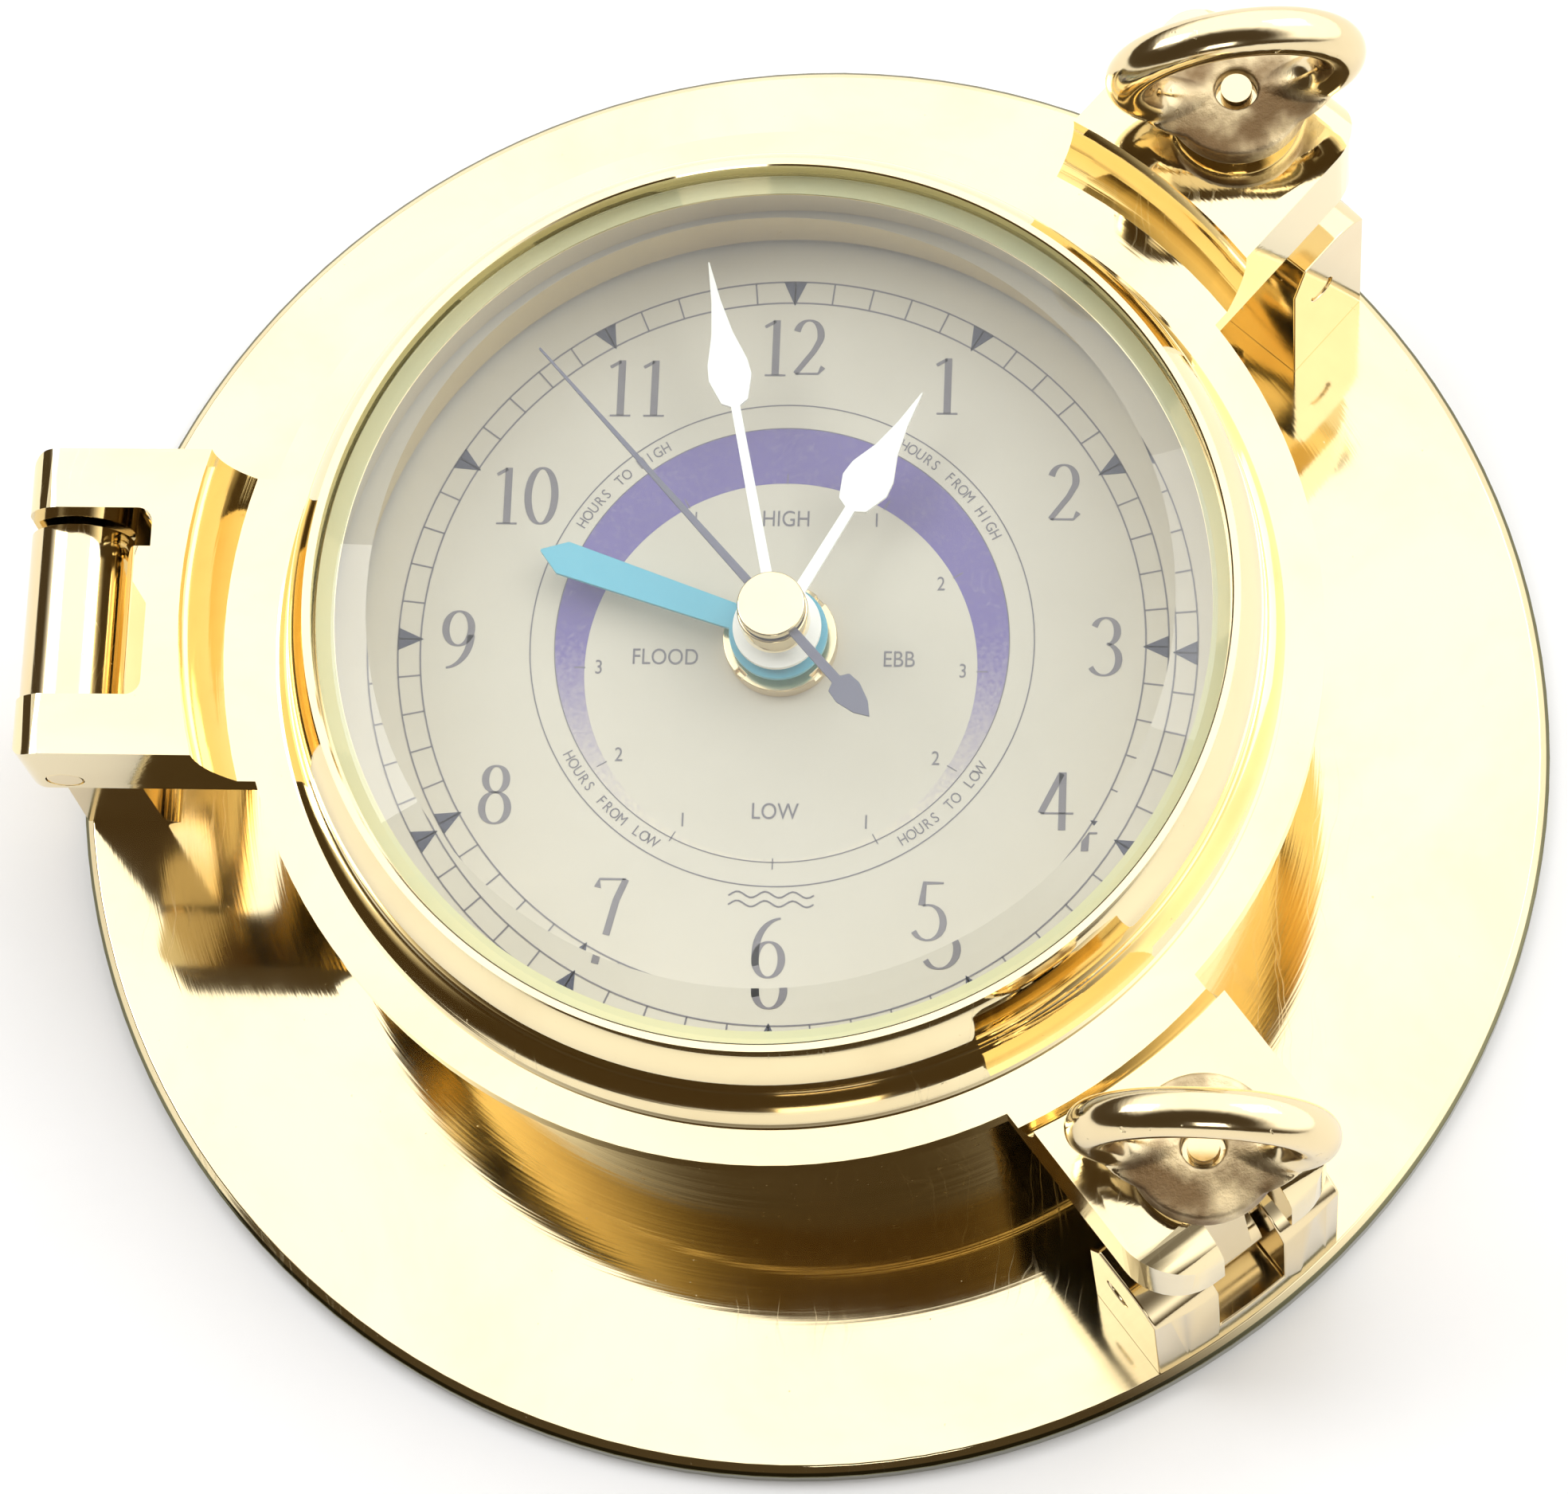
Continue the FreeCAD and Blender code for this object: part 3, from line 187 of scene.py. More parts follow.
def make_specks():
    """Small pits and dark specks in the metal or paint."""
    group, given, out = effect("Specks", {"Scale": 1500.0, "Share": 0.72}, ["Mask"])
    fine = noise(group, object_place(group), given[0], 2.0, 0.6)
    high = maths(group, "ADD", given[1], SPECK_FADE)
    made = node(group, "MapRange", None, Value=fine, From_Min=given[1], From_Max=high)
    group.links.new(made.outputs[0], out[0])
    return group


def make_smudges():
    """Broad soft patches of handling and faint tarnish."""
    group, given, out = effect("Smudges", {"Scale": 35.0}, ["Mask"])
    broad = noise(group, object_place(group), given[0], 5.0, 0.62, 0.4)
    group.links.new(step_up(group, broad, 0.38, 0.72), out[0])
    return group


def axis_distance(tree, place):
    """How far a place is from the vertical axis through its origin."""
    flat = node(tree, "VectorMath", {"operation": "MULTIPLY"}, i0=place, i1=(1.0, 1.0, 0.0))
    return node(tree, "VectorMath", {"operation": "LENGTH"}, i0=flat.outputs[0]).outputs["Value"]


RIM_FADE = 0.1


def make_rim_band():
    """The part of a disc beyond a radius about the clock's axis."""
    group, given, out = effect("Rim Band", {"Radius": 0.07}, ["Mask"])
    full = maths(group, "ADD", given[0], RIM_FADE * MM)
    group.links.new(step_up(group, axis_distance(group, object_place(group)), given[0], full), out[0])
    return group


LATHE_LINES = make_lathe_lines()
HAIRLINES = make_hairlines()
SPECKS = make_specks()
SMUDGES = make_smudges()
RIM_BAND = make_rim_band()


# ---------------------------------------------------------------- materials

def new_material(name):
    """A material with a Principled shader, and its tree and shader node."""
    material = bpy.data.materials.new(name)
    material.use_nodes = True
    tree = material.node_tree
    tree.nodes.clear()
    shader = tree.nodes.new("ShaderNodeBsdfPrincipled")
    output = tree.nodes.new("ShaderNodeOutputMaterial")
    tree.links.new(shader.outputs[0], output.inputs["Surface"])
    return material, tree, shader


# How much each kind of mark tarnishes, roughens or cuts into a metal.
WORN_TARNISH, SPECK_TARNISH = 0.45, 0.8
SCRATCH_ROUGH, SPECK_ROUGH, SCRATCH_CUT = 0.05, 0.25, 0.06
FINE_RELIEF, CAST_RELIEF = 0.02, 0.18

BRASS_CLEAN = (0.88, 0.75, 0.46, 1.0)
BRASS_WARM = (0.82, 0.68, 0.42, 1.0)
BRASS_DULL = (0.76, 0.60, 0.34, 1.0)
# The dark colour of a reflection in the plate's bevel, painted as a band on its rim.
PAINTED_RIM_REFLECTION = (0.17, 0.16, 0.09, 1.0)
BRASS_GRIME = (0.20, 0.13, 0.065, 1.0)


def metal(name, clean, dull, gloss, lines=0.0, pits=0.0, marks=0.05, speck_share=0.74, rim=0.0):
    """A worked metal: turning lines, wiping marks, smudges, pits, and a painted dark reflection on its rim
    if it has one.
    """
    material, tree, shader = new_material(name)
    smudge = use_effect(tree, SMUDGES, Scale=38.0)["Mask"]
    scratch = use_effect(tree, HAIRLINES)["Mask"]
    speck = use_effect(tree, SPECKS, Scale=1300.0, Share=speck_share)["Mask"]
    line = use_effect(tree, LATHE_LINES, Lines_Per_Millimetre=2.6)["Height"]
    worn = maths(tree, "MULTIPLY", smudge, WORN_TARNISH)
    tarnish = maths(tree, "ADD", worn, maths(tree, "MULTIPLY", speck, SPECK_TARNISH), clamp=True)
    colour = blend_colour(tree, tarnish, clean, dull)
    if rim:
        band = use_effect(tree, RIM_BAND, Radius=rim * MM)["Mask"]
        # Beyond the rim radius the colour turns dark: a painted reflection in the bevel.
        colour = blend_colour(tree, band, colour, PAINTED_RIM_REFLECTION)
    tree.links.new(colour, shader.inputs["Base Color"])
    rough = maths(tree, "ADD", maths(tree, "MULTIPLY", smudge, marks), gloss)
    rough = maths(tree, "ADD", rough, maths(tree, "MULTIPLY", scratch, SCRATCH_ROUGH))
    rough = maths(tree, "ADD", rough, maths(tree, "MULTIPLY", speck, SPECK_ROUGH))
    tree.links.new(rough, shader.inputs["Roughness"])
    height = maths(tree, "MULTIPLY", line, lines)
    height = maths(tree, "SUBTRACT", height, maths(tree, "MULTIPLY", speck, pits))
    height = maths(tree, "SUBTRACT", height, maths(tree, "MULTIPLY", scratch, SCRATCH_CUT))
    bump = node(tree, "Bump", None, Strength=0.35, Distance=FINE_RELIEF * MM, Height=height)
    tree.links.new(bump.outputs[0], shader.inputs["Normal"])
    shader.inputs["Metallic"].default_value = 1.0
    return material


# The rough zone of a nut's dish: its radius and heights, each with where it has faded out.
DISH_RADIUS, DISH_RADIUS_END = 7.0, 9.2
DISH_TOP, DISH_TOP_END = 52.2, 54.0
DISH_BOTTOM, DISH_BOTTOM_END = 50.0, 49.2
CAST_GLOSS, DISH_ROUGH, CAST_SPECK_ROUGH = 0.12, 0.28, 0.2
GRIT_RELIEF, SWELL_RELIEF, PIT_RELIEF = 1.4, 0.5, 0.3


def cast_brass():
    """Buffed casting: bright where fingers and buffing wheel reach, rough and dark in the dish."""
    material, tree, shader = new_material("buffed_cast_brass")
    place = object_place(tree)
    height_above = node(tree, "SeparateXYZ", None, Vector=place).outputs[2]
    under_top = step_up(tree, height_above, DISH_TOP_END * MM, DISH_TOP * MM)
    over_bottom = step_up(tree, height_above, DISH_BOTTOM_END * MM, DISH_BOTTOM * MM)
    dish = 0.0
    for angle in (UPPER_DOG, LOWER_DOG):
        x = -DOG_CIRCLE * math.cos(math.radians(angle)) * MM
        y = -DOG_CIRCLE * math.sin(math.radians(angle)) * MM
        centred = node(tree, "Mapping", None, Vector=place, Location=(x, y, 0.0))
        away = axis_distance(tree, centred.outputs[0])
        inside = step_up(tree, away, DISH_RADIUS_END * MM, DISH_RADIUS * MM)
        dish = maths(tree, "MAXIMUM", dish, inside)
    rough_zone = maths(tree, "MULTIPLY", dish, maths(tree, "MULTIPLY", under_top, over_bottom))
    grit = noise(tree, place, 1100.0, 6.0, 0.7)
    swell = noise(tree, place, 170.0, 3.0)
    smudge = use_effect(tree, SMUDGES, Scale=60.0)["Mask"]
    speck = use_effect(tree, SPECKS, Scale=900.0, Share=0.7)["Mask"]
    clean = blend_colour(tree, maths(tree, "MULTIPLY", smudge, 0.5), BRASS_WARM, BRASS_DULL)
    grimy = maths(tree, "MULTIPLY", rough_zone, step_up(tree, swell, 0.68, 0.38))
    tree.links.new(blend_colour(tree, grimy, clean, BRASS_GRIME), shader.inputs["Base Color"])
    rough = maths(tree, "ADD", maths(tree, "MULTIPLY", rough_zone, DISH_ROUGH), CAST_GLOSS)
    rough = maths(tree, "ADD", rough, maths(tree, "MULTIPLY", speck, CAST_SPECK_ROUGH))
    tree.links.new(rough, shader.inputs["Roughness"])
    relief = maths(tree, "MULTIPLY", maths(tree, "MULTIPLY", grit, rough_zone), GRIT_RELIEF)
    relief = maths(tree, "ADD", relief, maths(tree, "MULTIPLY", swell, SWELL_RELIEF))
    relief = maths(tree, "SUBTRACT", relief, maths(tree, "MULTIPLY", speck, PIT_RELIEF))
    bump = node(tree, "Bump", None, Strength=0.6, Distance=CAST_RELIEF * MM, Height=relief)
    tree.links.new(bump.outputs[0], shader.inputs["Normal"])
    shader.inputs["Metallic"].default_value = 1.0
    return material


def painted(name, colour, shade, gloss, grain=900.0, relief=0.4):
    """Paint, print, rubber or moulded plastic with a fine grain and slight colour drift."""
    material, tree, shader = new_material(name)
    place = object_place(tree)
    drift = use_effect(tree, SMUDGES, Scale=70.0)["Mask"]
    speck = use_effect(tree, SPECKS, Scale=grain * 1.7, Share=0.7)["Mask"]
    mottle = maths(tree, "MULTIPLY", speck, 0.4)
    amount = maths(tree, "ADD", maths(tree, "MULTIPLY", drift, 0.5), mottle)
    tree.links.new(blend_colour(tree, amount, colour, shade), shader.inputs["Base Color"])
    texture = noise(tree, place, grain, 3.0)
    rough = maths(tree, "ADD", maths(tree, "MULTIPLY", texture, 0.12), gloss)
    tree.links.new(rough, shader.inputs["Roughness"])
    bump = node(tree, "Bump", None, Strength=relief, Distance=FINE_RELIEF * MM, Height=texture)
    tree.links.new(bump.outputs[0], shader.inputs["Normal"])
    return material


def clear_glass():
    """Bevelled plate glass, faintly green and smudged, that lets the studio light through to the dial."""
    material, tree, shader = new_material("bevelled_glass")
    smudge = use_effect(tree, SMUDGES, Scale=24.0)["Mask"]
    tree.links.new(blend_colour(tree, smudge, (0.985, 0.995, 0.985, 1.0), (0.97, 0.985, 0.97, 1.0)),
                   shader.inputs["Base Color"])
    tree.links.new(maths(tree, "MULTIPLY", smudge, 0.02), shader.inputs["Roughness"])
    shader.inputs["Transmission Weight"].default_value = 1.0
    shader.inputs["IOR"].default_value = 1.5
    open_way = node(tree, "BsdfTransparent", None, Color=(0.97, 0.98, 0.97, 1.0))
    rays = node(tree, "LightPath")
    lamp = maths(tree, "MAXIMUM", rays.outputs["Is Shadow Ray"], rays.outputs["Is Diffuse Ray"])
    both = node(tree, "MixShader", None, i0=lamp, i1=shader.outputs[0], i2=open_way.outputs[0])
    output = [made for made in tree.nodes if made.type == "OUTPUT_MATERIAL"][0]
    tree.links.new(both.outputs[0], output.inputs["Surface"])
    return material


# The violet print is full above the first height and gone below the second.
VIOLET_FULL, VIOLET_GONE = 4.0, -21.0
VIOLET = (0.13, 0.10, 0.32, 1.0)
CREAM = (0.60, 0.56, 0.46, 1.0)


def tide_violet():
    """Violet print that fades as it runs down the dial, broken into a fine hatch."""
    material, tree, shader = new_material("violet_print")
    place = object_place(tree)
    up = node(tree, "SeparateXYZ", None, Vector=place).outputs[1]
    hatch = maths(tree, "MULTIPLY", maths(tree, "SUBTRACT", noise(tree, place, 2600.0, 1.0), 0.5), 0.5)
    strength = maths(tree, "ADD", step_up(tree, up, VIOLET_GONE * MM, VIOLET_FULL * MM), hatch, clamp=True)
    tree.links.new(blend_colour(tree, strength, CREAM, VIOLET), shader.inputs["Base Color"])
    tree.links.new(maths(tree, "ADD", maths(tree, "MULTIPLY", hatch, 0.2), 0.5), shader.inputs["Roughness"])
    return material


# The outer part of the plate's bevel, where a dark reflection is painted into the colour.
RIM_START = PLATE_RADIUS - 0.45 * PLATE_BEVEL

MATERIALS = {
    "mirror_brass": metal("mirror_brass", BRASS_CLEAN, BRASS_DULL, 0.045, lines=0.5, pits=0.3),
    "plate_brass": metal("plate_brass", BRASS_CLEAN, BRASS_DULL, 0.045, lines=0.5, pits=0.3, rim=RIM_START),
    "turned_brass": metal("turned_brass", BRASS_CLEAN, BRASS_DULL, 0.07, lines=1.2, pits=0.7, marks=0.08,
                          speck_share=0.70),
    "case_brass": metal("case_brass", BRASS_WARM, BRASS_DULL, 0.08, pits=0.4, marks=0.06),
    "screw_brass": metal("screw_brass", BRASS_WARM, BRASS_DULL, 0.2, pits=0.5, marks=0.12),
    "cast_brass": cast_brass(),
    "dial_enamel": painted("cream_dial", (0.56, 0.53, 0.45, 1.0), (0.52, 0.49, 0.41, 1.0), 0.42,
                           grain=1400.0, relief=0.2),
    "glass": clear_glass(),
    "seal_rubber": painted("black_rubber", (0.02, 0.02, 0.02, 1.0), (0.04, 0.04, 0.04, 1.0), 0.6),
    "clear_gasket": painted("clear_gasket", (0.70, 0.68, 0.42, 1.0), (0.62, 0.66, 0.45, 1.0), 0.3),
    "case_plastic": painted("black_moulding", (0.025, 0.025, 0.028, 1.0), (0.05, 0.05, 0.05, 1.0), 0.42),
    "gear_plastic": painted("acetal", (0.78, 0.75, 0.66, 1.0), (0.70, 0.66, 0.56, 1.0), 0.35),
    "steel": metal("drawn_steel", (0.62, 0.62, 0.63, 1.0), (0.45, 0.45, 0.46, 1.0), 0.28, marks=0.1),
    "magnet": painted("ferrite", (0.07, 0.07, 0.075, 1.0), (0.12, 0.12, 0.12, 1.0), 0.45, grain=1500.0),
    "copper_wire": metal("copper_winding", (0.75, 0.36, 0.2, 1.0), (0.5, 0.2, 0.1, 1.0), 0.3, marks=0.1),
    "board": painted("board_varnish", (0.05, 0.22, 0.08, 1.0), (0.08, 0.30, 0.12, 1.0), 0.25),
    "battery_jacket": painted("battery_jacket", (0.05, 0.09, 0.22, 1.0), (0.10, 0.14, 0.28, 1.0), 0.3),
    "hand_white": painted("white_paint", (0.90, 0.90, 0.87, 1.0), (0.82, 0.82, 0.80, 1.0), 0.35),
    "hand_blue": painted("blue_paint", (0.10, 0.42, 0.56, 1.0), (0.16, 0.50, 0.62, 1.0), 0.35),
    "hand_grey": painted("grey_paint", (0.11, 0.11, 0.16, 1.0), (0.16, 0.16, 0.21, 1.0), 0.35),
    "grey_print": painted("grey_print", (0.15, 0.14, 0.16, 1.0), (0.20, 0.19, 0.20, 1.0), 0.5),
    "dark_print": painted("dark_print", (0.03, 0.035, 0.07, 1.0), (0.05, 0.055, 0.09, 1.0), 0.45),
    "violet_print": tide_violet(),
}


# ---------------------------------------------------------------- making pieces

def bow(start, end, sag, count=14):
    """Points of a shallow curve from start to end that swells to the left by sag."""
    (x0, y0), (x1, y1) = start, end
    length = math.hypot(x1 - x0, y1 - y0)
    points = []
    for i in range(1, count + 1):
        t = i / count
        lift = sag * 4 * t * (1 - t)
        points.append((x0 + (x1 - x0) * t - (y1 - y0) / length * lift,
                       y0 + (y1 - y0) * t + (x1 - x0) / length * lift))
    return points


def turned(outline, steps, start=0):
    """Radii and heights spun about the clock's axis, left open at the axis when start is 1."""
    shape = bmesh.new()
    points = [shape.verts.new((r * MM, 0.0, z * MM)) for r, z in outline]
    edges = [shape.edges.new((points[i - 1], points[i])) for i in range(start, len(points))]
    bmesh.ops.spin(shape, geom=points + edges, cent=(0, 0, 0), axis=(0, 0, 1), dvec=(0, 0, 0),
                   angle=FULL_TURN, steps=steps, use_merge=True)
    bmesh.ops.remove_doubles(shape, verts=shape.verts, dist=MERGE)
    bmesh.ops.recalc_face_normals(shape, faces=shape.faces)
    return shape


def add_piece(name, shape, body, material, nodes=(), bevel=0.0, crease=32.0):
    """Turns a bmesh into a finished object that rides on its body."""
    mesh = bpy.data.meshes.new(name)
    shape.to_mesh(mesh)
    shape.free()
    mesh.shade_smooth()
    mesh.set_sharp_from_angle(angle=math.radians(crease))
    piece = bpy.data.objects.new(name, mesh)
    bpy.context.scene.collection.objects.link(piece)
    mesh.materials.append(MATERIALS[material])
    if bevel:
        rounding = piece.modifiers.new("Edges", "BEVEL")
        rounding.width = bevel * MM
        rounding.segments = 2
        rounding.limit_method = "ANGLE"
        rounding.angle_limit = math.radians(crease)
        rounding.harden_normals = True
    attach(piece, body)
    if nodes:
        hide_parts(*nodes)
    return piece


def body_of(name):
    return frame["nodes"][name]["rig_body"]


def eased(name, material, bevel, crease=32.0):
    """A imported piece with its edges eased, as filing and buffing leave them."""
    shape = bmesh.new()
    shape.from_mesh(frame["nodes"][name].data)
    bmesh.ops.remove_doubles(shape, verts=shape.verts, dist=PACKED_MERGE)
    bmesh.ops.dissolve_limit(shape, angle_limit=math.radians(0.8), verts=shape.verts, edges=shape.edges)
    return add_piece(name + "_eased", shape, body_of(name), material, [name], bevel, crease)


# ---------------------------------------------------------------- case and door

BARREL_EDGE, DIAL_GAP, LEDGE_SLOPE = 0.3, 0.3, 3.0
FOOT_LINE, FOOT_LINE_IN, FOOT_LINE_RISE = 0.45, 0.3, 0.05
HOLLOW_IN, HOLLOW_RISE, HOLLOW_DEPTH = 2.0, 5.2, 0.42
QUIRK_IN, QUIRK_RISE, QUIRK_TOP = 0.12, 0.05, 0.3
SWELLING = 0.7
GLASS_GAP, RIM_EDGE, GLASS_BED = 0.2, 0.15, 0.4
NUT_SKIN = 0.22


def case_barrel():
    """The barrel's wall, with the ledge that carries the dial and the foot that takes its screws."""
    seat = DIAL_RADIUS + DIAL_GAP
    outline = [
        (BARREL_RADIUS, PLATE_THICK), (BARREL_RADIUS, BARREL_TOP - BARREL_EDGE),
        (BARREL_RADIUS - BARREL_EDGE, BARREL_TOP), (seat, BARREL_TOP), (seat, DIAL_BACK),
        (LEDGE_BORE, DIAL_BACK), (LEDGE_BORE, LEDGE_BOTTOM), (BARREL_BORE, LEDGE_BOTTOM - LEDGE_SLOPE),
        (BARREL_BORE, BARREL_FOOT_TOP), (BARREL_FOOT_BORE, BARREL_FOOT_TOP),
        (BARREL_FOOT_BORE, PLATE_THICK),
    ]
    shape = turned(outline, CASE_STEPS)
    add_piece("barrel", shape, "base", "turned_brass", ["case_barrel"])


def bezel():
    """Foot line, hollow, quirk line, swelling, and a flat rim round the glass."""
    line_top = BEZEL_SEAT + FOOT_LINE
    outline = [(BEZEL_BORE, BEZEL_BOTTOM), (RING_BORE, BEZEL_BOTTOM), (RING_BORE, BEZEL_SEAT)]
    outline += [(BEZEL_FOOT, BEZEL_SEAT), (BEZEL_FOOT, line_top)]
    outline += [(BEZEL_FOOT - FOOT_LINE_IN, line_top + FOOT_LINE_RISE)]
    hollow_radius, hollow_top = BEZEL_FOOT - HOLLOW_IN, BEZEL_SEAT + HOLLOW_RISE
    outline += bow(outline[-1], (hollow_radius, hollow_top), HOLLOW_DEPTH)
    quirk = hollow_radius - QUIRK_IN
    outline += [(quirk, hollow_top + QUIRK_RISE), (quirk, hollow_top + QUIRK_TOP)]
    outline += bow(outline[-1], (BEZEL_RIM, BEZEL_TOP), -SWELLING, 20)
    inner, bed = GLASS_RADIUS + GLASS_GAP, GLASS_BOTTOM - GLASS_BED
    outline += [(inner + RIM_EDGE, BEZEL_TOP), (inner, BEZEL_TOP - RIM_EDGE)]
    outline += [(inner, bed), (BEZEL_BORE, bed)]
    shape = turned(outline, CASE_STEPS)
    add_piece("bezel_moulding", shape, "door", "mirror_brass", ["bezel"])


def glass_pane():
    """A thick pane with a wide bevel round its face."""
    outline = [
        (0.0, GLASS_BOTTOM), (GLASS_RADIUS, GLASS_BOTTOM), (GLASS_RADIUS, GLASS_TOP - GLASS_EDGE),
        (GLASS_FLAT, GLASS_TOP), (0.0, GLASS_TOP),
    ]
    pane = turned(outline, GLASS_STEPS, start=1)
    add_piece("glass_pane", pane, "door", "glass", ["glass"], crease=5.0)


def eye_nut(side):
    """A casting: the loop, bowl and dish run into one another in soft fillets."""
    name = side + "_nut"
    shape = bmesh.new()
    shape.from_mesh(frame["nodes"][name].data)
    bmesh.ops.remove_doubles(shape, verts=shape.verts, dist=PACKED_MERGE)
    body = body_of(name)
    piece = add_piece(name + "_casting", shape, body, "cast_brass", [name], crease=180.0)
    skin = piece.modifiers.new("Skin", "REMESH")
    skin.mode = "VOXEL"
    skin.voxel_size = NUT_SKIN * MM
    skin.use_smooth_shade = True
    soften = piece.modifiers.new("Soften", "SMOOTH")
    soften.factor = 0.5
    soften.iterations = 5


PLATE_EASE, RING_EASE, FITTING_EASE, TURNED_EASE, HEX_EASE, HAND_EASE = 0.12, 0.35, 0.3, 0.2, 0.12, 0.06

case_barrel()
bezel()
glass_pane()
eased("base_plate", "plate_brass", PLATE_EASE)
eased("door_ring", "mirror_brass", RING_EASE)
for name in ("hinge_post", "hinge_pin", "upper_clevis", "lower_clevis", "upper_pivot_pin",
             "lower_pivot_pin"):
    eased(name, "case_brass", FITTING_EASE)
for side in ("upper", "lower"):
    eased(side + "_bolt", "case_brass", TURNED_EASE)
    eye_nut(side)
eased("hand_nut", "mirror_brass", TURNED_EASE)
eased("hand_cap", "mirror_brass", TURNED_EASE)
eased("fixing_nut", "screw_brass", HEX_EASE)


# ---------------------------------------------------------------- dial print

PRINT_LIFT, PRINT_THICK = 0.01, 0.03
PRINT_MIDDLE = DIAL_FACE + PRINT_LIFT + PRINT_THICK / 2
CHAPTER_IN, CHAPTER_OUT, CHAPTER_LINE = 35.1, 37.3, 0.16
MARK_OVERLAP, MARK_HALF = 0.3, 1.15
NUMERAL_EDGE, NUMERAL_SIZE, NUMERAL_SPREAD = 33.4, 6.0, 1.2
TIDE_LINE, BAND_OUT, BAND_IN, BAND_DROP = 24.4, 22.0, 19.0, 2.7
TIDE_LINE_WIDE, BAND_LINE_WIDE, TICK_WIDE, TICK_LONG, TICK_OVERLAP = 0.12, 0.10, 0.12, 1.0, 0.1
HOUR_SIZE, HOUR_INSET, WORD_SIZE, ROUND_SIZE, ROUND_RADIUS = 2.0, 1.4, 2.3, 1.5, 23.2
LETTER_NARROW, LETTER_PITCH = 0.85, 0.62


def flat_ring(shape, radius, width):
    """A printed circle of a line width."""
    low = (DIAL_FACE + PRINT_LIFT) * MM
    corners = ((-width / 2, 0), (width / 2, 0), (width / 2, PRINT_THICK), (-width / 2, PRINT_THICK))
    points = [shape.verts.new(((radius + dr) * MM, 0.0, low + dz * MM)) for dr, dz in corners]
    edges = [shape.edges.new((points[i - 1], points[i])) for i in range(4)]
    bmesh.ops.spin(shape, geom=points + edges, cent=(0, 0, 0), axis=(0, 0, 1), dvec=(0, 0, 0),
                   angle=FULL_TURN, steps=PRINT_STEPS, use_merge=True)
    bmesh.ops.remove_doubles(shape, verts=shape.verts, dist=MERGE)


def print_bar(shape, angle, inner, outer, width, drop=0.0):
    """A radial printed bar at a clock angle, about a centre dropped below the dial's."""
    turn = Matrix.Rotation(-math.radians(angle), 4, "Z")
    middle = Vector((0.0, (inner + outer) / 2 * MM, PRINT_MIDDLE * MM))
    size = Matrix.Diagonal((width * MM, (outer - inner) * MM, PRINT_THICK * MM, 1.0))
    place = Matrix.Translation((0.0, -drop * MM, 0.0)) @ turn @ Matrix.Translation(middle) @ size
    bmesh.ops.create_cube(shape, size=1.0, matrix=place)


def print_triangle(shape, angle, base, tip, half):
    """An hour triangle with its point towards the centre."""
    middle = Matrix.Translation((0.0, (base * 2 + tip) / 3 * MM, PRINT_MIDDLE * MM))
    place = Matrix.Rotation(-math.radians(angle), 4, "Z") @ middle
    stretch = Matrix.Diagonal((half / math.cos(math.radians(30)), (base - tip) / 1.5, 1.0, 1.0))
    bmesh.ops.create_cone(shape, cap_ends=True, segments=3, radius1=MM, radius2=MM, depth=PRINT_THICK * MM,
                          matrix=place @ stretch @ Matrix.Rotation(math.pi, 4, "Z"))


def lettering(shape, words, size, x, y, turn=0.0):
    """Letters laid flat on the dial, centred on a place."""
    curve = bpy.data.curves.new("letters", "FONT")
    curve.body = words
    curve.align_x = "CENTER"
    curve.align_y = "CENTER"
    curve.size = size * MM
    curve.extrude = PRINT_THICK / 2 * MM
    curve.resolution_u = 6
    holder = bpy.data.objects.new("letters", curve)
    bpy.context.scene.collection.objects.link(holder)
    bpy.context.view_layer.update()
    built = holder.evaluated_get(bpy.context.evaluated_depsgraph_get())
    mesh = bpy.data.meshes.new_from_object(built)
    middle = Matrix.Translation((x * MM, y * MM, PRINT_MIDDLE * MM))
    turned_to = Matrix.Rotation(math.radians(turn), 4, "Z")
    mesh.transform(middle @ turned_to @ Matrix.Diagonal((LETTER_NARROW, 1.0, 1.0, 1.0)))
    shape.from_mesh(mesh)
    bpy.data.objects.remove(holder)
    bpy.data.curves.remove(curve)
    bpy.data.meshes.remove(mesh)


def curved_words(shape, words, size, radius, middle, inward):
    """Letters spaced round a circle about a clock angle, heads in or out."""
    pitch = math.degrees(size * LETTER_PITCH / radius)
    for i, letter in enumerate(words):
        along = (i - (len(words) - 1) / 2) * pitch
        angle = middle + (-along if inward else along)
        x = radius * math.sin(math.radians(angle))
        y = radius * math.cos(math.radians(angle))
        if letter != " ":
            lettering(shape, letter, size, x, y, -angle + (180 if inward else 0))


def chapter_print():
    """The minute track, and a triangle at each hour."""
    shape = bmesh.new()
    for radius in (CHAPTER_IN, CHAPTER_OUT):
        flat_ring(shape, radius, CHAPTER_LINE)
    for minute in range(60):
        print_bar(shape, 6 * minute, CHAPTER_IN, CHAPTER_OUT, CHAPTER_LINE)
    add_piece("chapter_ring_print", shape, "base", "grey_print")
    marks = bmesh.new()
    for hour in range(12):
        print_triangle(marks, 30 * hour, CHAPTER_OUT, CHAPTER_IN - MARK_OVERLAP, MARK_HALF)
    add_piece("hour_marks", marks, "base", "dark_print")


def arc(x, y, across, up, start, end, count=14):
    """Points on an ellipse, by angle in degrees."""
    points = []
    for i in range(count + 1):
        angle = math.radians(start + (end - start) * i / count)
        points.append((x + across * math.cos(angle), y + up * math.sin(angle)))
    return points


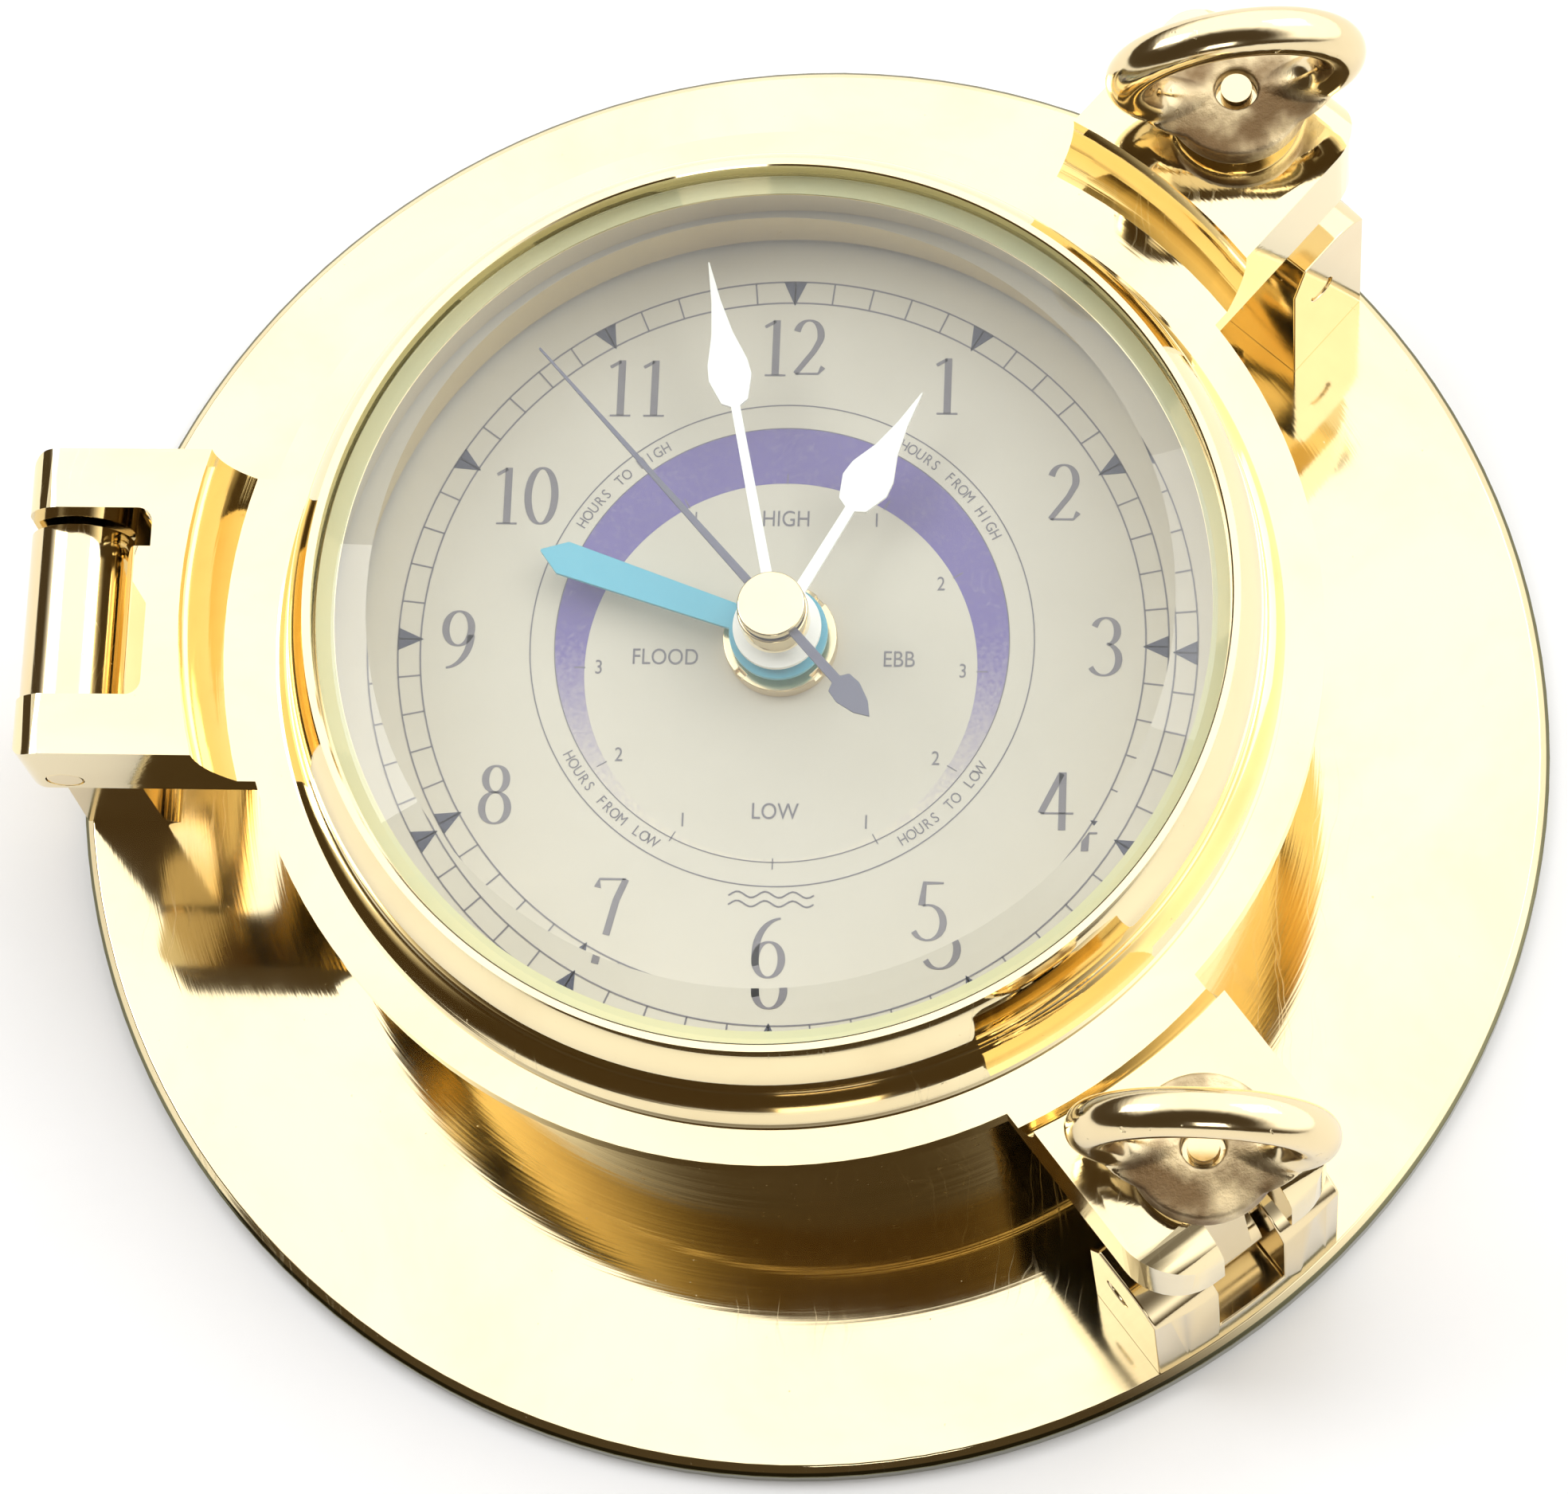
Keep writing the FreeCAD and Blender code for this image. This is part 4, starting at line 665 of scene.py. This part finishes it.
# Pen strokes of each figure in a box 1 high; the pen is wide on upright runs and thin on level ones.
FIGURES = {
    "0": [arc(0.27, 0.5, 0.22, 0.48, 90, 450, 28)],
    "1": [[(0.27, 0.98), (0.27, 0.02)], [(0.08, 0.86), (0.25, 0.96)], [(0.10, 0.02), (0.44, 0.02)]],
    "2": [arc(0.25, 0.72, 0.20, 0.26, 165, -20) + [(0.34, 0.44), (0.05, 0.05)],
          [(0.05, 0.05), (0.42, 0.05), (0.50, 0.17)]],
    "3": [arc(0.24, 0.75, 0.19, 0.23, 160, -75), arc(0.22, 0.28, 0.24, 0.27, 80, -150)],
    "4": [[(0.36, 0.98), (0.36, 0.02)], [(0.34, 0.96), (0.02, 0.30)], [(0.02, 0.30), (0.54, 0.30)]],
    "5": [[(0.46, 0.95), (0.16, 0.95), (0.12, 0.58)], arc(0.22, 0.30, 0.25, 0.29, 110, -150)],
    "6": [arc(0.48, 0.42, 0.42, 0.56, 95, 180) + arc(0.27, 0.30, 0.21, 0.29, 180, 200),
          arc(0.27, 0.30, 0.21, 0.29, 180, 540, 28)],
    "7": [[(0.05, 0.80), (0.08, 0.94), (0.50, 0.94)], [(0.50, 0.94), (0.36, 0.60), (0.22, 0.02)]],
    "8": [arc(0.27, 0.75, 0.17, 0.22, 90, 450, 28), arc(0.27, 0.27, 0.21, 0.26, 90, 450, 28)],
    "9": [arc(0.27, 0.69, 0.21, 0.29, 0, 360, 28), arc(0.06, 0.58, 0.42, 0.56, 0, -85)],
}
PEN_THIN, PEN_WIDE, FIGURE_PITCH = 0.032, 0.118, 0.55


def pen_stroke(shape, points, size, x, y):
    """A ribbon along a stroke, its width set by how upright the pen is moving."""
    low = (DIAL_FACE + PRINT_LIFT) * MM
    sides = []
    for i, (px, py) in enumerate(points):
        ahead, behind = points[min(i + 1, len(points) - 1)], points[max(i - 1, 0)]
        run, rise = ahead[0] - behind[0], ahead[1] - behind[1]
        length = math.hypot(run, rise)
        half = (PEN_THIN + (PEN_WIDE - PEN_THIN) * (rise / length) ** 2) / 2
        for sign in (-1, 1):
            along_x = x + (px - sign * half * rise / length) * size
            along_y = y + (py + sign * half * run / length) * size
            sides.append(shape.verts.new((along_x * MM, along_y * MM, low)))
    faces = []
    for i in range(0, len(sides) - 2, 2):
        faces.append(shape.faces.new((sides[i], sides[i + 2], sides[i + 3], sides[i + 1])))
    bmesh.ops.recalc_face_normals(shape, faces=faces)
    raised = bmesh.ops.extrude_face_region(shape, geom=faces)
    tops = [made for made in raised["geom"] if isinstance(made, bmesh.types.BMVert)]
    bmesh.ops.translate(shape, verts=tops, vec=(0.0, 0.0, PRINT_THICK * MM))


def numeral_print():
    """Hour numerals whose outer edges keep to one circle."""
    shape = bmesh.new()
    for hour in range(1, 13):
        angle = math.radians(30 * hour)
        figures = str(hour)
        half_wide = len(figures) * FIGURE_PITCH * NUMERAL_SIZE / 2
        half_tall = NUMERAL_SIZE / 2
        reach_x, reach_y = NUMERAL_SPREAD * half_wide * math.sin(angle), half_tall * math.cos(angle)
        radius = NUMERAL_EDGE - math.hypot(reach_x, reach_y)
        start = radius * math.sin(angle) - half_wide
        y = radius * math.cos(angle) - half_tall
        for place, figure in enumerate(figures):
            for stroke in FIGURES[figure]:
                pen_stroke(shape, stroke, NUMERAL_SIZE, start + place * FIGURE_PITCH * NUMERAL_SIZE, y)
    bmesh.ops.recalc_face_normals(shape, faces=shape.faces)
    add_piece("numerals", shape, "base", "grey_print")


def tide_print():
    """Circles, ticks, hour counts and words of the tide scale."""
    shape = bmesh.new()
    flat_ring(shape, TIDE_LINE, TIDE_LINE_WIDE)
    flat_ring(shape, BAND_OUT, BAND_LINE_WIDE)
    for step in range(12):
        print_bar(shape, 30 * step, BAND_IN - TICK_OVERLAP, BAND_IN + TICK_LONG, TICK_WIDE, BAND_DROP)
        hours = 3 - abs(step % 6 - 3)
        if hours:
            angle = math.radians(30 * step)
            x = (BAND_IN - HOUR_INSET) * math.sin(angle)
            y = (BAND_IN - HOUR_INSET) * math.cos(angle) - BAND_DROP
            lettering(shape, str(hours), HOUR_SIZE, x, y)
    labels = (("HIGH", 0.0, 12.6), ("FLOOD", -11.2, -1.6), ("EBB", 11.4, -1.6), ("LOW", 0.0, -17.0))
    for words, x, y in labels:
        lettering(shape, words, WORD_SIZE, x, y)
    round_labels = (("HOURS TO HIGH", 315, False), ("HOURS FROM HIGH", 45, False),
                    ("HOURS TO LOW", 135, True), ("HOURS FROM LOW", 225, True))
    for words, middle, inward in round_labels:
        curved_words(shape, words, ROUND_SIZE, ROUND_RADIUS, middle, inward)
    add_piece("tide_scale_print", shape, "base", "grey_print")


def crescent_print():
    """The violet band between the outer circle and a smaller one set low."""
    shape = bmesh.new()
    low = (DIAL_FACE + PRINT_LIFT / 2) * MM
    rings = []
    for radius, drop in ((BAND_OUT, 0.0), (BAND_IN, BAND_DROP)):
        place = Matrix.Translation((0.0, -drop * MM, low))
        made = bmesh.ops.create_circle(shape, cap_ends=False, segments=CRESCENT_STEPS, radius=radius * MM,
                                       matrix=place)
        for corner in made["verts"]:
            rings += [edge for edge in corner.link_edges if edge not in rings]
    bmesh.ops.bridge_loops(shape, edges=rings)
    bmesh.ops.recalc_face_normals(shape, faces=shape.faces)
    if sum(face.normal.z for face in shape.faces) < 0:
        bmesh.ops.reverse_faces(shape, faces=shape.faces)
    bmesh.ops.solidify(shape, geom=list(shape.faces), thickness=-0.5 * PRINT_THICK * MM)
    add_piece("tide_crescent", shape, "base", "violet_print")


# The wave mark: short dashes laid end to end along two sine lines.
WAVE_ROWS, WAVE_DASHES, WAVE_STEP = (-25.2, -26.1), 24, 0.34
WAVE_HEIGHT, WAVE_TURN = 0.28, 0.8
DASH_LONG, DASH_WIDE = 0.42, 0.16


def wave_mark():
    """A plain wave above the six."""
    shape = bmesh.new()
    size = Matrix.Diagonal((DASH_LONG * MM, DASH_WIDE * MM, PRINT_THICK * MM, 1.0))
    for row in WAVE_ROWS:
        for i in range(WAVE_DASHES):
            x = (i - (WAVE_DASHES - 1) / 2) * WAVE_STEP
            y = row + WAVE_HEIGHT * math.sin(i * WAVE_TURN)
            rise = WAVE_HEIGHT * WAVE_TURN / WAVE_STEP * math.cos(i * WAVE_TURN)
            slope = Matrix.Rotation(math.atan(rise), 4, "Z")
            middle = Matrix.Translation((x * MM, y * MM, PRINT_MIDDLE * MM))
            bmesh.ops.create_cube(shape, size=1.0, matrix=middle @ slope @ size)
    add_piece("wave_mark", shape, "base", "grey_print")


chapter_print()
numeral_print()
tide_print()
crescent_print()
wave_mark()
for name, slot in (("hour_hand", "hand_white"), ("minute_hand", "hand_white"),
                   ("tide_hand", "hand_blue"), ("second_hand", "hand_grey")):
    eased(name, slot, HAND_EASE)


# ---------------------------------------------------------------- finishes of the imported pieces

for part in frame["record"]["subparts"]:
    packed = frame["nodes"][part["node"]]
    packed.data.materials.clear()
    packed.data.materials.append(MATERIALS[part["material_slot"]])


# ---------------------------------------------------------------- floor, light and camera

# The white tent is brightest above, behind and to the right, and is open towards the front.
TENT_LEAN = (0.45, 0.35, 1.0)
TENT_SKIRT = (0.08, 0.50)
TENT_OPENING = (-0.09, -0.70, 0.71)
TENT_OPENING_EDGE = (0.84, 0.60)
TENT_DARK, TENT_WHITE, TENT_STRENGTH = (0.042, 0.030, 0.016, 1.0), (1.0, 1.0, 1.0, 1.0), 1.8
FLOOR_HALF = 3.0
SOFTBOXES = (
    ("left_softbox", (-0.9, 0.2, 1.0), 0.6, 4.0),
    ("right_softbox", (0.9, 0.5, 1.1), 0.7, 3.0),
    ("front_strip", (0.1, -1.1, 0.5), 0.3, 1.0),
)
CLOCK_MIDDLE = (0.0, 0.0, 0.03)


def towards(tree, heading):
    """How nearly a direction in the sky points along a heading."""
    sky = node(tree, "TexCoord").outputs["Generated"]
    return node(tree, "VectorMath", {"operation": "DOT_PRODUCT"}, i0=sky, i1=heading).outputs["Value"]


def studio():
    """A pale floor inside a white tent with an opening at the front, and three soft lamps."""
    shape = bmesh.new()
    bmesh.ops.create_grid(shape, x_segments=1, y_segments=1, size=FLOOR_HALF)
    mesh = bpy.data.meshes.new("floor")
    shape.to_mesh(mesh)
    shape.free()
    floor = bpy.data.objects.new("floor", mesh)
    bpy.context.scene.collection.objects.link(floor)
    paper = painted("pale_floor", (0.93, 0.93, 0.93, 1.0), (0.91, 0.91, 0.91, 1.0), 0.6,
                    grain=80.0, relief=0.02)
    mesh.materials.append(paper)

    world = bpy.data.worlds.new("studio")
    bpy.context.scene.world = world
    world.use_nodes = True
    tree = world.node_tree
    background = [made for made in tree.nodes if made.type == "BACKGROUND"][0]
    above_skirt = step_up(tree, towards(tree, TENT_LEAN), *TENT_SKIRT)
    beside_opening = step_up(tree, towards(tree, TENT_OPENING), *TENT_OPENING_EDGE)
    lit = maths(tree, "MULTIPLY", above_skirt, beside_opening)
    tree.links.new(blend_colour(tree, lit, TENT_DARK, TENT_WHITE), background.inputs["Color"])
    background.inputs["Strength"].default_value = TENT_STRENGTH

    for name, place, size, power in SOFTBOXES:
        lamp = bpy.data.lights.new(name, "AREA")
        lamp.shape = "SQUARE"
        lamp.size = size
        lamp.energy = power
        holder = bpy.data.objects.new(name, lamp)
        holder.location = place
        aim = Vector(CLOCK_MIDDLE) - Vector(place)
        holder.rotation_euler = aim.to_track_quat("-Z", "Y").to_euler()
        bpy.context.scene.collection.objects.link(holder)


def camera():
    """A long lens, 72 degrees above the floor and almost square to the dial."""
    lens = bpy.data.cameras.new("camera")
    lens.lens = 132.1
    lens.sensor_width = 36.0
    holder = bpy.data.objects.new("camera", lens)
    right = (0.9958, 0.0384, -0.0837)
    above = (-0.0121, 0.9556, 0.2945)
    back = (0.0913, -0.2922, 0.9520)
    place = (0.05101, -0.17164, 0.56176)
    rows = [(right[i], above[i], back[i], place[i]) for i in range(3)]
    holder.matrix_world = Matrix(rows + [(0.0, 0.0, 0.0, 1.0)])
    bpy.context.scene.collection.objects.link(holder)
    bpy.context.scene.camera = holder


studio()
camera()
# Plain display tones keep the tent pure white and the shadowed brass deep.
bpy.context.scene.view_settings.view_transform = "Standard"
